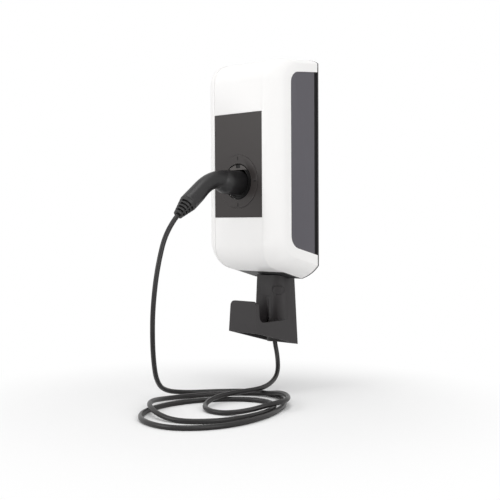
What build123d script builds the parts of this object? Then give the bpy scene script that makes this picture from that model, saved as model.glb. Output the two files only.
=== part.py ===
from build123d import *
import math
import os

# Wall charger with its parked plug, cable hanger and charging cable.
# Millimetres. The wall is the plane Y = 0, the front faces -Y, +Z is up and the
# origin is the centre of the four wall screws, at half the height of the box.

# Box, seen from the side: front plane, rear joint and the two sloping edges
FRONT_Y = -162.0            # front plane of the centre cover
FLANGE_REAR_Y = -27.0       # back of the housing flange
FLANGE_T = 3.0
JOINT_Y = FLANGE_REAR_Y - FLANGE_T      # front face of the flange
TOP_Z = 244.8               # top edge at the flange
BOTTOM_Z = -247.0           # bottom edge at the flange
TOP_SLOPE = 0.0734          # rise per mm towards the wall
BOTTOM_SLOPE = 0.275        # fall per mm towards the wall
TOP_R = 48.0
BOTTOM_R = 55.0

# Box, seen from the front
STRIP_HALF = 72.0           # half width of the centre cover
CREASE_HALF = 109.5         # half width at the wing's crease, at its front
FLANGE_HALF = 120.0         # half width at the flange
CREASE_Y = -130.5           # front line of the crease
WING_DEPTH = CREASE_Y - FRONT_Y + 2.0   # how far the wing curves back
WING_DROP = 12.4            # how far it curves down at the top
WING_RISE = 31.0            # how far it curves up at the bottom
WING_BEND = 0.93            # share of a quarter ellipse that the wing follows
WALL = 3.0
GAP = 0.3                   # clearance between covers

# Centre cover and face panel
STRIP_SET = 0.8             # centre cover lies this far under the wings
STRIP_T = 4.0
WEB_T = 2.6                 # wall of the front cover behind the centre cover
PANEL_W = 143.4
PANEL_TOP = 122.0
PANEL_BOTTOM = -107.1
PANEL_T = 2.2

# Plug holder
HOLDER_Z = -28.1
DISC_R = 58.6
DISC_PROUD = 1.0
DISC_T = 3.2
RECESS_R = 39.7
RING_R = 39.4               # flange of the cup, inside the disc
RIM_IN_R = 36.4             # outer rim of the cup's mouth
MOUTH_SET = 3.4             # depth of the grooves beside the rim
CRESCENT_R = 37.2
KEY_W = 12.0                # notch in the crescent
KEY_RISE = 4.2              # plate left under the notch
LEDGE_R = 47.5              # ledge of the cup, behind the centre cover
COLLAR_R = 34.4
SOCKET_R = 28.6
CUP_DEPTH = 56.0
CUP_WALL = 2.4
TICK_L = 8.0
TICK_W = 2.4
CHORD_Z = 25.6              # flat top of the socket, above the holder's centre

# Side panels
SIDE_FRONT_Y = -111.0
SIDE_REAR_Y = -38.5
SIDE_TOP_Z = 212.9          # top edge at the rear
SIDE_BOTTOM_Z = -190.0      # bottom edge at the rear
SIDE_TOP_R = 25.0
SIDE_BOTTOM_R = 30.0
SIDE_SET = 1.2
SIDE_T = 2.0
SIDE_LIP = 5.0
SIDE_LIP_T = 2.0

# Rear housing
TRAY_HALF = 92.0
TRAY_TOP = 224.0
TRAY_BOTTOM = -222.0
RIM_HALF = 110.5
RIM_TOP = 224.0
RIM_BOTTOM = -205.0
RIM_T = 2.5
RIM_FRONT_Y = -44.0
RIM_R = 14.0
SEAL_T = 2.2
WALL_HOLE_X = 140.0         # wall screws, hole to hole
WALL_HOLE_Z = 390.0
WALL_HOLE_R = 3.2
ENTRY_R = 16.0
ENTRY_Z = 180.0
TRAY_T = 3.0
TRAY_WALL = 2.5

# Underside
BASE_HALF = 62.0            # half width of the opening for the base cover
BASE_T = 4.0
BASE_FRONT_Y = -87.0

# Inside
CARRIER_T = 2.0
CARRIER_HALF = 104.0
CARRIER_TOP = 205.0
CARRIER_BOTTOM = -185.0
CARRIER_HOLE_IN = 7.0       # holes, in from the plate's sides
BOARD_STANDOFF = 12.0
BOARD_HOLE_IN = 8.0
BOARD_T = 1.6
BOARD_HALF = 84.0
BOARD_TOP = 120.0
BOARD_BOTTOM = -170.0
CARRIER_FRONT_Y = JOINT_Y - CARRIER_T
BOARD_BACK_Y = CARRIER_FRONT_Y - BOARD_STANDOFF
BOARD_Y = BOARD_BACK_Y - BOARD_T        # front face of the board
BOARD_LEFT = -BOARD_HALF
OUTPUT_X = 10.0             # middle of the output terminals
BUTTON_TRAVEL = 1.2

# Cable hanger
HANGER_BACK_Y = -12.0
HANGER_TOP_Z = -239.0
HANGER_TOP_HALF = 35.2
HANGER_LOW_Z = -401.0
HANGER_LOW_HALF = 45.2
LIP_Y = -149.0              # front of the lip at its foot
LIP_TOP_Y = -147.0
LIP_TOP_Z = -293.5
LIP_FOOT_Z = -363.0
LIP_SIDE_T = 9.5            # depth of the side walls behind the lip
TRAY_Z = -341.0             # top edge of the tray's side walls
CHEEK_TOP_Y = -62.0         # sloping face beside the column
CHEEK_LOW_Y = -42.0
POCKET_TOP_Z = -286.0       # where the pocket beside the column starts
HANGER_WALL = 3.6
HANGER_FLOOR_Z = -352.0
BACK_FOOT_Z = -399.5
COLUMN_X = 11.5
COLUMN_Y = -35.5
COLUMN_R = 26.5
COLUMN_WALL = 4.0
OUTLET_X = 4.0
OUTLET_Y = -50.0
OUTLET_R = 15.0
OUTLET_WALL = 2.6
OUTLET_Z = -391.0
CAP_Z = -273.5
CAP_TURN = 31.0             # degrees round the column, from the front
CAP_W = 29.0
CAP_H = 21.0
CAP_SEAT = 1.6              # depth of the seat of the cap
CAP_GROOVE = 1.0

# Cable and its gland
CABLE_R = 5.2
GLAND_X = 10.5
GLAND_Y = -43.0
GLAND_R = 10.0
GLAND_PAD_R = 13.5
GLAND_PAD_TOP = -230.0
GLAND_PAD_LOW = -250.0

# Plug
PLUG_Z = -30.15
PLUG_R = 26.5
PLUG_FACE_Y = -156.0        # collar of the plug, in the holder's mouth
PLUG_BODY_Y = -195.0        # where the body starts to round off
PLUG_END_R = 36.0
PLUG_WALL = 3.0
NOSE_R = 24.0
NOSE_Y = -119.0             # tip of the nose
# Centre line of the grip: Y, Z, radius and tilt down from level, in degrees
GRIP = [(-187.0, -26.0, 22.2, 4.0), (-217.0, -25.5, 20.4, 10.0), (-242.0, -28.7, 18.4, 20.0),
        (-265.0, -39.4, 18.2, 31.0), (-290.0, -59.2, 19.2, 38.0), (-313.0, -77.0, 19.4, 40.0)]
BOOT_L = 38.0
BOOT_TIP_R = 10.0
BOOT_ROWS = 4
SLOT_W = 4.4
SLOT_DEPTH = 4.6

# Route of the cable's centre, from the gland to the plug: down through the hanger,
# over its own turns, three loose turns on the floor and up to the parked plug
FLOOR_Z = -500.0
LIE_Z = FLOOR_Z + CABLE_R
ROUTE = [(GLAND_X, GLAND_Y, -226), (GLAND_X, GLAND_Y, -310), (4, -50, -380), (13, -46, -426),
         (30, -64, -461), (46, -104, -477), (57, -152, -482), (50, -202, -482), (41, -250, -483),
         (43, -295, -487), (62, -332, -493), (98, -352, LIE_Z), (139, -346, LIE_Z),
         (171, -312, -490), (188, -268, -482), (192, -224, -480.5), (165, -184, -481),
         (122, -158, -482), (76, -143, -491), (34, -152, LIE_Z), (-11, -195, LIE_Z),
         (-48, -262, LIE_Z), (-52, -335, -491), (-25, -398, -483), (14, -438, -482),
         (62, -458, -489), (110, -458, LIE_Z), (155, -434, LIE_Z), (189, -381, LIE_Z),
         (194, -300, LIE_Z), (176, -240, LIE_Z), (136, -203, LIE_Z), (78, -205, LIE_Z),
         (18, -256, LIE_Z), (-14, -329, LIE_Z), (-12, -402, LIE_Z), (14, -462, LIE_Z),
         (74, -506, LIE_Z), (156, -508, LIE_Z), (211, -447, LIE_Z), (224, -364, LIE_Z),
         (207, -274, LIE_Z), (161, -187, LIE_Z), (93, -133, LIE_Z), (14, -131, LIE_Z),
         (-44, -190, LIE_Z), (-78, -255, -493), (-78, -316, -480), (-56, -356, -450),
         (-31, -385, -404), (-11, -405, -352), (-2, -411, -288), (0, -400, -208),
         (0, -372.598, -127.009), (0, -292.011, -59.388), (0, -246, -33), (0, -205, -28.5),
         (0, -172, -28.5)]

# Lean of the flat side of the box, through the crease and the flange's edge
SIDE_LEAN = math.atan2(FLANGE_HALF - CREASE_HALF, FLANGE_REAR_Y - CREASE_Y)

# Depths that several pieces share
CHANNEL_T = STRIP_SET + STRIP_T
COVER_REAR_Y = JOINT_Y - GAP
PANEL_Y = FRONT_Y + STRIP_SET               # front of the face panel
POCKET_Y = PANEL_Y + PANEL_T                # floor of the panel's pocket
STRIP_BACK_Y = FRONT_Y + CHANNEL_T          # back of the centre cover
WEB_BACK_Y = STRIP_BACK_Y + WEB_T

# Fixings, as X and Z
COVER_POINTS = [(-60, 233.5), (60, 233.5), (-88, -231), (88, -231)]
STRIP_POINTS = [(-68, 140), (68, 140), (-68, 178), (68, 178), (-68, -125), (68, -125)]
CARRIER_POINTS = [(side * (CARRIER_HALF - CARRIER_HOLE_IN), z) for side in (-1, 1)
                  for z in (CARRIER_BOTTOM + 15, 20, CARRIER_TOP - 15)]
BOARD_POINTS = [(side * (BOARD_HALF - BOARD_HOLE_IN), z) for side in (-1, 1)
                for z in (BOARD_BOTTOM + 10, (BOARD_BOTTOM + BOARD_TOP) / 2, BOARD_TOP - 10)]
CUP_POINTS = [(-30.6, HOLDER_Z - 30.6), (30.6, HOLDER_Z - 30.6),
              (-30.6, HOLDER_Z + 30.6), (30.6, HOLDER_Z + 30.6)]
READER_POINTS = [(-25, 85), (25, 85), (-25, 108), (25, 108)]
WALL_POINTS = [(x * WALL_HOLE_X / 2, z * WALL_HOLE_Z / 2) for x in (-1, 1) for z in (-1, 1)]


def edge_top(y):
    """Height of the box's upper edge at depth y."""
    return TOP_Z + TOP_SLOPE * (y - FLANGE_REAR_Y)


def edge_bottom(y):
    """Height of the box's lower edge at depth y."""
    return BOTTOM_Z + BOTTOM_SLOPE * (FLANGE_REAR_Y - y)


def outline(plane, corners, radii):
    """Closed face from a run of straight lines, rounded at its inner corners."""
    with BuildSketch(plane) as face:
        with BuildLine():
            FilletPolyline(*corners, radius=radii)
            Line(corners[-1], corners[0])
        make_face()
    return face.sketch


def side_corners(front, drop, rise, rear):
    """Four corners of the box's side outline, from the foot of its rear edge round."""
    return [(rear, edge_bottom(rear) + rise), (front, edge_bottom(front) + rise),
            (front, edge_top(front) - drop), (rear, edge_top(rear) - drop)]


def centre_form(offset, half, rear):
    """The box between the wings, set in by offset on every outer side."""
    face = outline(Plane.YZ.offset(-half), side_corners(FRONT_Y + offset, offset, offset, rear),
                   [BOTTOM_R - offset, TOP_R - offset])
    with BuildPart() as form:
        extrude(face, amount=2 * half)
    return form.part


def wing_form(offset, start, rear):
    """The right wing, lofted over planes that open out towards the wall."""
    sections = []
    for share in (0.0, 0.3, 0.55, 0.75, 0.9, 1.0):
        x_front = start + (CREASE_HALF - offset - start) * share
        x_rear = start + (FLANGE_HALF - offset - start) * share
        lean = math.atan2(x_rear - x_front, FLANGE_REAR_Y - CREASE_Y)
        full = 1.0 - math.sqrt(1.0 - WING_BEND**2)
        bend = (1.0 - math.sqrt(1.0 - (WING_BEND * share)**2)) / full
        rise = WING_RISE * (0.6 * share + 0.4 * share**3)
        plane = Plane(origin=(x_front, CREASE_Y, 0), x_dir=(math.sin(lean), math.cos(lean), 0),
                      z_dir=(math.cos(lean), -math.sin(lean), 0))
        corners = side_corners(FRONT_Y + offset + WING_DEPTH * bend, offset + WING_DROP * bend,
                               offset + rise, rear)
        flat = [((y - CREASE_Y) / math.cos(lean), z) for y, z in corners]
        less = offset + 5.0 * bend
        sections.append(outline(plane, flat, [BOTTOM_R - less, TOP_R - less]))
    with BuildPart() as form:
        loft(sections)
    return form.part


def box_form(offset, start, rear):
    """Centre and both wings in one solid."""
    wing = wing_form(offset, start, rear)
    with BuildPart() as form:
        add(centre_form(offset, start, rear))
        add(wing)
        mirror(wing, about=Plane.YZ)
    return form.part


def save(part, name):
    """Give the piece its name and write its file."""
    part.label = name
    export_step(part, f"parts/{name}.step")


def side_plane(depth):
    """Plane parallel to the right side face, depth mm inside it."""
    normal = Vector(math.cos(SIDE_LEAN), -math.sin(SIDE_LEAN), 0)
    origin = Vector(FLANGE_HALF, FLANGE_REAR_Y, 0) - normal * depth
    return Plane(origin=origin, x_dir=(math.sin(SIDE_LEAN), math.cos(SIDE_LEAN), 0), z_dir=normal)


def side_outline(depth, grow, rear):
    """Outline of the side panel, grown by grow, on a plane depth mm inside the side face."""
    front = SIDE_FRONT_Y - grow
    top = SIDE_TOP_Z + grow
    bottom = SIDE_BOTTOM_Z - grow
    corners = [(rear, bottom + BOTTOM_SLOPE * (SIDE_REAR_Y - rear)),
               (front, bottom + BOTTOM_SLOPE * (SIDE_REAR_Y - front)),
               (front, top + TOP_SLOPE * (front - SIDE_REAR_Y)),
               (rear, top + TOP_SLOPE * (rear - SIDE_REAR_Y))]
    flat = [((y - FLANGE_REAR_Y) / math.cos(SIDE_LEAN), z) for y, z in corners]
    return outline(side_plane(depth), flat, [SIDE_BOTTOM_R + grow, SIDE_TOP_R + grow])


def block(x, y, z, mode=Mode.ADD):
    """Box between two limits on each axis, in the piece being built."""
    with Locations(((x[0] + x[1]) / 2, (y[0] + y[1]) / 2, (z[0] + z[1]) / 2)):
        Box(abs(x[1] - x[0]), abs(y[1] - y[0]), abs(z[1] - z[0]), mode=mode)


def rod(x, z, radius, y, mode=Mode.ADD):
    """Cylinder along Y between two depths, in the piece being built."""
    with Locations(Location((x, (y[0] + y[1]) / 2, z), (90, 0, 0))):
        Cylinder(radius, abs(y[1] - y[0]), mode=mode)


def post(x, y, radius, z, mode=Mode.ADD):
    """Upright cylinder between two heights, in the piece being built."""
    with Locations((x, y, (z[0] + z[1]) / 2)):
        Cylinder(radius, abs(z[1] - z[0]), mode=mode)


def screw(x, z, seat, length, radius, towards=1):
    """Pan head screw along Y: its head sits at seat, its shank runs on from there."""
    head = 1.7 * radius
    rod(x, z, radius * 1.9, (seat - towards * head, seat))
    rod(x, z, radius, (seat, seat + towards * length))
    slot = (seat - towards * head, seat - towards * 0.5 * head)
    block((x - radius * 1.3, x + radius * 1.3), slot, (z - radius * 0.2, z + radius * 0.2), Mode.SUBTRACT)
    block((x - radius * 0.2, x + radius * 0.2), slot, (z - radius * 1.3, z + radius * 1.3), Mode.SUBTRACT)


def rounded(y, half, bottom, top, radius):
    """Rounded rectangle at depth y, facing the front."""
    with BuildSketch(Plane.XZ.offset(-y)) as face:
        with Locations((0, (bottom + top) / 2)):
            RectangleRounded(2 * half, top - bottom, radius)
    return face.sketch


def profile(points, start):
    """Polygon of (Y, Z) points on the plane X = start."""
    with BuildSketch(Plane.YZ.offset(start)) as face:
        Polygon(*points, align=None)
    return face.sketch


os.makedirs("parts", exist_ok=True)

# Front cover: both wings, with a channel down the middle for the centre cover
outer_form = box_form(0.0, STRIP_HALF, FLANGE_REAR_Y)
inner_wing = wing_form(WALL, STRIP_HALF + WALL, FLANGE_REAR_Y)
channel_band = outline(Plane.YZ.offset(-STRIP_HALF), side_corners(FRONT_Y - WALL, -WALL, -WALL, JOINT_Y),
                       [BOTTOM_R + WALL, TOP_R + WALL])
channel_core = outline(Plane.YZ.offset(-STRIP_HALF),
                       side_corners(FRONT_Y + CHANNEL_T, CHANNEL_T, CHANNEL_T, JOINT_Y),
                       [BOTTOM_R - CHANNEL_T, TOP_R - CHANNEL_T])
with BuildPart() as channel:
    extrude(channel_band, amount=2 * STRIP_HALF)
    extrude(channel_core, amount=2 * STRIP_HALF, mode=Mode.SUBTRACT)
with BuildPart() as side_opening:
    extrude(side_outline(8.0, 0.0, FLANGE_REAR_Y), amount=14.0)
centre_cavity = centre_form(CHANNEL_T + WEB_T, STRIP_HALF + WALL, FLANGE_REAR_Y)
with BuildPart() as cover_shell:
    add(outer_form)
    split(bisect_by=Plane.XZ.offset(-COVER_REAR_Y), keep=Keep.TOP)
    add(centre_cavity, mode=Mode.SUBTRACT)
    add(inner_wing, mode=Mode.SUBTRACT)
    mirror(inner_wing, about=Plane.YZ, mode=Mode.SUBTRACT)
    for x, z in COVER_POINTS:
        rod(x, z, 4.5, (JOINT_Y, JOINT_Y - 12))
        rod(x, z, 1.5, (JOINT_Y, JOINT_Y - 10), Mode.SUBTRACT)
    add(channel.part, mode=Mode.SUBTRACT)
    add(side_opening.part, mode=Mode.SUBTRACT)
    mirror(side_opening.part, about=Plane.YZ, mode=Mode.SUBTRACT)
    block((-64, 64), (FRONT_Y, -148), (-100, 114), Mode.SUBTRACT)
    block((-BASE_HALF, BASE_HALF), (BASE_FRONT_Y, FLANGE_REAR_Y), (-262, -215), Mode.SUBTRACT)
    for x, z in STRIP_POINTS:
        rod(x, z, 1.5, (STRIP_BACK_Y, WEB_BACK_Y), Mode.SUBTRACT)
save(cover_shell.part, "cover_shell")

# Centre cover: one curved strip from the top, down the front and under the box
strip_outer = centre_form(STRIP_SET, STRIP_HALF - GAP, COVER_REAR_Y)
strip_inner = centre_form(CHANNEL_T, STRIP_HALF, FLANGE_REAR_Y)
with BuildPart() as centre_cover:
    add(strip_outer)
    add(strip_inner, mode=Mode.SUBTRACT)
    block((-80, 80), (BASE_FRONT_Y, 0), (-262, -180), Mode.SUBTRACT)
    block((-80, 80), (FRONT_Y, POCKET_Y), (PANEL_BOTTOM - GAP, PANEL_TOP + GAP), Mode.SUBTRACT)
    rod(0, HOLDER_Z, RECESS_R, (FRONT_Y, STRIP_BACK_Y), Mode.SUBTRACT)
    for x, z in CUP_POINTS:
        rod(x, z, 1.3, (STRIP_BACK_Y, STRIP_BACK_Y - 1.4), Mode.SUBTRACT)
    for x, z in READER_POINTS:
        rod(x, z, 3.0, (STRIP_BACK_Y, STRIP_BACK_Y + 8))
        rod(x, z, 1.0, (STRIP_BACK_Y, STRIP_BACK_Y + 8), Mode.SUBTRACT)
    for x, z in STRIP_POINTS:
        rod(x, z, 1.5, (STRIP_BACK_Y, STRIP_BACK_Y - 2.5), Mode.SUBTRACT)
save(centre_cover.part, "centre_cover")

with BuildPart() as face_panel:
    block((-PANEL_W / 2, PANEL_W / 2), (PANEL_Y, POCKET_Y), (PANEL_BOTTOM, PANEL_TOP))
    rod(0, HOLDER_Z, DISC_R + GAP, (PANEL_Y, POCKET_Y), Mode.SUBTRACT)
    chamfer(face_panel.faces().sort_by(Axis.Y)[0].outer_wire().edges(), 0.4)
save(face_panel.part, "face_panel")

# Plug holder: disc with its tick marks, cup with stepped collars, key plate
disc_front = POCKET_Y - DISC_T
with BuildPart() as holder_disc:
    rod(0, HOLDER_Z, DISC_R, (disc_front, POCKET_Y))
    rod(0, HOLDER_Z, RECESS_R, (disc_front, POCKET_Y), Mode.SUBTRACT)
    chamfer(holder_disc.faces().sort_by(Axis.Y)[0].edges(), 0.4)
    for turn in range(4):
        with Locations(Plane((0, disc_front, HOLDER_Z), x_dir=(1, 0, 0), z_dir=(0, -1, 0))):
            with PolarLocations(51.0, 1, 90 * turn):
                Box(TICK_L, TICK_W, 1.0, mode=Mode.SUBTRACT)
save(holder_disc.part, "holder_disc")


def key_face(y, radius):
    """Circle of the holder at depth y, cut off by its flat top."""
    with BuildSketch(Plane.XZ.offset(-y)) as face:
        with Locations((0, HOLDER_Z)):
            Circle(radius)
        with Locations((0, HOLDER_Z + CHORD_Z + 50)):
            Rectangle(200, 100, mode=Mode.SUBTRACT)
    return face.sketch


ring_front = PANEL_Y + 0.8
cup_end = PANEL_Y + CUP_DEPTH
with BuildPart() as holder_cup:
    rod(0, HOLDER_Z, RING_R, (ring_front, STRIP_BACK_Y))
    rod(0, HOLDER_Z, LEDGE_R, (STRIP_BACK_Y, STRIP_BACK_Y + 2))
    rod(0, HOLDER_Z, SOCKET_R + CUP_WALL, (STRIP_BACK_Y, cup_end + CUP_WALL))
    extrude(key_face(cup_end, SOCKET_R), amount=CUP_DEPTH + 2, mode=Mode.SUBTRACT)
    extrude(key_face(ring_front + 1.4, COLLAR_R), amount=3, mode=Mode.SUBTRACT)
    with BuildSketch(Plane.XZ.offset(-ring_front - MOUTH_SET)) as groove:
        with Locations((0, HOLDER_Z)):
            Circle(RING_R + 1)
            Circle(RIM_IN_R, mode=Mode.SUBTRACT)
    extrude(groove.sketch, amount=MOUTH_SET + 1, mode=Mode.SUBTRACT)
    with BuildSketch(Plane.XZ.offset(-ring_front - MOUTH_SET)) as step:
        with Locations((0, HOLDER_Z)):
            Circle(COLLAR_R - 0.4)
            Circle(COLLAR_R - 2.4, mode=Mode.SUBTRACT)
        with Locations((0, HOLDER_Z + CHORD_Z + 50)):
            Rectangle(200, 100, mode=Mode.SUBTRACT)
    extrude(step.sketch, amount=MOUTH_SET - 1.4, mode=Mode.SUBTRACT)
    for x, z in CUP_POINTS:
        rod(x, z, 1.3, (STRIP_BACK_Y, STRIP_BACK_Y + 2), Mode.SUBTRACT)
save(holder_cup.part, "holder_cup")

with BuildPart() as holder_crescent:
    rod(0, HOLDER_Z, CRESCENT_R, (PANEL_Y + 0.2, ring_front))
    block((-50, 50), (PANEL_Y - 1, ring_front), (HOLDER_Z - 60, HOLDER_Z + CHORD_Z), Mode.SUBTRACT)
    block((-KEY_W / 2, KEY_W / 2), (PANEL_Y - 1, ring_front),
          (HOLDER_Z + CHORD_Z + KEY_RISE, HOLDER_Z + RING_R), Mode.SUBTRACT)
save(holder_crescent.part, "holder_crescent")

with BuildPart() as holder_screws:
    for x, z in CUP_POINTS:
        screw(x, z, STRIP_BACK_Y + 2, 3.4, 1.3, -1)
save(holder_screws.part, "holder_screws")

with BuildPart() as strip_screws:
    for x, z in STRIP_POINTS:
        screw(x, z, WEB_BACK_Y, 5.1, 1.5, -1)
save(strip_screws.part, "strip_screws")

# Side panels: a face in the opening and a wider lip behind the cover's wall
lip_depth = WALL * math.cos(SIDE_LEAN)
with BuildPart() as side_panel_right:
    extrude(side_outline(lip_depth + SIDE_LIP_T, SIDE_LIP, SIDE_REAR_Y), amount=SIDE_LIP_T)
    extrude(side_outline(lip_depth + 0.5, -GAP, SIDE_REAR_Y), amount=lip_depth + 0.5 - SIDE_SET)
save(side_panel_right.part, "side_panel_right")
with BuildPart() as side_panel_left:
    mirror(side_panel_right.part, about=Plane.YZ)
save(side_panel_left.part, "side_panel_left")

# Rear housing: tray on the wall, flange that closes the cover, rim inside it
with BuildPart() as rear_housing:
    add(outer_form)
    split(bisect_by=Plane.XZ.offset(-JOINT_Y), keep=Keep.BOTTOM)
    extrude(rounded(0, TRAY_HALF, TRAY_BOTTOM, TRAY_TOP, 10), amount=-FLANGE_REAR_Y)
    extrude(rounded(JOINT_Y, RIM_HALF, RIM_BOTTOM, RIM_TOP, RIM_R), amount=JOINT_Y - RIM_FRONT_Y)
    extrude(rounded(JOINT_Y, RIM_HALF - RIM_T, RIM_BOTTOM + RIM_T, RIM_TOP - RIM_T, RIM_R - RIM_T),
            amount=JOINT_Y - RIM_FRONT_Y, mode=Mode.SUBTRACT)
    extrude(rounded(-TRAY_T, TRAY_HALF - TRAY_WALL, TRAY_BOTTOM + TRAY_WALL, TRAY_TOP - TRAY_WALL, 8),
            amount=-JOINT_Y - TRAY_T, mode=Mode.SUBTRACT)
    for x, z in WALL_POINTS:
        rod(x, z, 8.0, (-TRAY_T, -TRAY_T - 4))
        rod(x, z, WALL_HOLE_R, (0, -TRAY_T - 4), Mode.SUBTRACT)
    for x, z in CARRIER_POINTS:
        rod(x, z, 1.5, (JOINT_Y, FLANGE_REAR_Y), Mode.SUBTRACT)
    for x, z in COVER_POINTS:
        rod(x, z, 1.5, (JOINT_Y, FLANGE_REAR_Y), Mode.SUBTRACT)
    rod(0, ENTRY_Z, ENTRY_R, (0, -TRAY_T), Mode.SUBTRACT)
    for x in (-14, 14):
        post(x, -18, 1.5, (TRAY_BOTTOM, TRAY_BOTTOM + TRAY_WALL), Mode.SUBTRACT)
save(rear_housing.part, "rear_housing")

with BuildPart() as cover_gasket:
    extrude(rounded(JOINT_Y, RIM_HALF + 3.5, RIM_BOTTOM - 3.5, RIM_TOP + 3.5, RIM_R + 3.5), amount=SEAL_T)
    extrude(rounded(JOINT_Y, RIM_HALF, RIM_BOTTOM, RIM_TOP, RIM_R), amount=SEAL_T, mode=Mode.SUBTRACT)
save(cover_gasket.part, "cover_gasket")

with BuildPart() as supply_grommet:
    rod(0, ENTRY_Z, ENTRY_R, (0, -TRAY_T))
    rod(0, ENTRY_Z, ENTRY_R + 3, (-TRAY_T, -TRAY_T - 2))
    rod(0, ENTRY_Z, ENTRY_R - 3, (0, -TRAY_T - 2), Mode.SUBTRACT)
save(supply_grommet.part, "supply_grommet")

with BuildPart() as cover_screws:
    for x, z in COVER_POINTS:
        screw(x, z, FLANGE_REAR_Y, 11.5, 1.5, -1)
save(cover_screws.part, "cover_screws")

# Base cover: closes the underside behind the centre cover and carries the gland
with BuildPart() as base_cover:
    add(strip_outer)
    add(strip_inner, mode=Mode.SUBTRACT)
    block((-90, 90), (-200, BASE_FRONT_Y + GAP), (-262, 262), Mode.SUBTRACT)
    block((-90, 90), (-200, 0), (-180, 262), Mode.SUBTRACT)
    lower = side_corners(BASE_FRONT_Y + GAP, 0, CHANNEL_T, COVER_REAR_Y)
    upper = side_corners(BASE_FRONT_Y + GAP, 0, CHANNEL_T + 3.5, COVER_REAR_Y)
    extrude(profile([lower[0], lower[1], upper[1], upper[0]], -BASE_HALF + GAP),
            amount=2 * (BASE_HALF - GAP))
    post(GLAND_X, GLAND_Y, GLAND_PAD_R, (GLAND_PAD_LOW, GLAND_PAD_TOP))
    post(GLAND_X, GLAND_Y, GLAND_R, (GLAND_PAD_LOW, GLAND_PAD_TOP), Mode.SUBTRACT)
    block((-40, 60), (COVER_REAR_Y, 0), (-262, -200), Mode.SUBTRACT)
save(base_cover.part, "base_cover")

# Gland: body through the pad, nut above it, dome below it, seal round the cable
with BuildPart() as gland_body:
    post(GLAND_X, GLAND_Y, GLAND_R, (GLAND_PAD_LOW, GLAND_PAD_TOP + 7))
    with BuildSketch(Plane.XY.offset(GLAND_PAD_LOW)):
        with Locations((GLAND_X, GLAND_Y)):
            RegularPolygon(13.0, 6)
    extrude(amount=-6)
    post(GLAND_X, GLAND_Y, 11.0, (GLAND_PAD_LOW - 20, GLAND_PAD_LOW - 6))
    chamfer(gland_body.faces().sort_by(Axis.Z)[0].edges(), 2.5)
    post(GLAND_X, GLAND_Y, CABLE_R + 0.3, (-290, -200), Mode.SUBTRACT)
    post(GLAND_X, GLAND_Y, CABLE_R + 2.3, (GLAND_PAD_LOW - 17, GLAND_PAD_LOW), Mode.SUBTRACT)
save(gland_body.part, "gland_body")
with BuildPart() as gland_seal:
    post(GLAND_X, GLAND_Y, CABLE_R + 2.3, (GLAND_PAD_LOW - 17, GLAND_PAD_LOW))
    post(GLAND_X, GLAND_Y, CABLE_R, (GLAND_PAD_LOW - 17, GLAND_PAD_LOW), Mode.SUBTRACT)
save(gland_seal.part, "gland_seal")
with BuildPart() as gland_nut:
    with BuildSketch(Plane.XY.offset(GLAND_PAD_TOP)):
        with Locations((GLAND_X, GLAND_Y)):
            RegularPolygon(13.0, 6)
            Circle(GLAND_R, mode=Mode.SUBTRACT)
    extrude(amount=5)
save(gland_nut.part, "gland_nut")

# Inside: carrier plate, board and what sits on it
with BuildPart() as carrier_plate:
    block((-CARRIER_HALF, CARRIER_HALF), (CARRIER_FRONT_Y, JOINT_Y), (CARRIER_BOTTOM, CARRIER_TOP))
    rod(0, ENTRY_Z, 14.0, (CARRIER_FRONT_Y, JOINT_Y), Mode.SUBTRACT)
    for x, z in WALL_POINTS:
        rod(x, z, 7.0, (CARRIER_FRONT_Y, JOINT_Y), Mode.SUBTRACT)
    for x, z in CARRIER_POINTS:
        rod(x, z, 1.5, (CARRIER_FRONT_Y, JOINT_Y), Mode.SUBTRACT)
save(carrier_plate.part, "carrier_plate")
with BuildPart() as carrier_screws:
    for x, z in CARRIER_POINTS:
        screw(x, z, CARRIER_FRONT_Y, 5, 1.5)
save(carrier_screws.part, "carrier_screws")
with BuildPart() as board_spacers:
    for x, z in BOARD_POINTS:
        rod(x, z, 3.5, (CARRIER_FRONT_Y, BOARD_BACK_Y))
        rod(x, z, 1.3, (CARRIER_FRONT_Y, BOARD_BACK_Y), Mode.SUBTRACT)
save(board_spacers.part, "board_spacers")
with BuildPart() as main_board:
    block((-BOARD_HALF, BOARD_HALF), (BOARD_Y, BOARD_BACK_Y), (BOARD_BOTTOM, BOARD_TOP))
    for x, z in BOARD_POINTS:
        rod(x, z, 1.3, (BOARD_Y, BOARD_BACK_Y), Mode.SUBTRACT)
save(main_board.part, "main_board")
with BuildPart() as board_screws:
    for x, z in BOARD_POINTS:
        screw(x, z, BOARD_Y, 10, 1.3)
save(board_screws.part, "board_screws")

relay_x = BOARD_LEFT + 36
relay_z = BOARD_TOP - 53
with BuildPart() as power_relay:
    block((relay_x - 20, relay_x + 20), (BOARD_Y - 26, BOARD_Y), (relay_z - 17, relay_z + 17))
    block((relay_x - 16, relay_x + 16), (BOARD_Y - 27, BOARD_Y - 26), (relay_z - 13, relay_z + 13))
    for x in (relay_x - 12, relay_x, relay_x + 12):
        block((x - 2, x + 2), (BOARD_Y - 8, BOARD_Y), (relay_z + 17, relay_z + 21))
        block((x - 2, x + 2), (BOARD_Y - 8, BOARD_Y), (relay_z - 21, relay_z - 17))
save(power_relay.part, "power_relay")
sensor_x = BOARD_HALF - 40
sensor_z = BOARD_TOP - 56
with BuildPart() as current_sensor:
    rod(sensor_x, sensor_z, 20.0, (BOARD_Y, BOARD_Y - 14))
    rod(sensor_x, sensor_z, 11.0, (BOARD_Y, BOARD_Y - 14), Mode.SUBTRACT)
    block((sensor_x - 18, sensor_x + 18), (BOARD_Y - 6, BOARD_Y), (sensor_z - 24, sensor_z - 14))
save(current_sensor.part, "current_sensor")
fuse_x = BOARD_LEFT + 22
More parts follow.
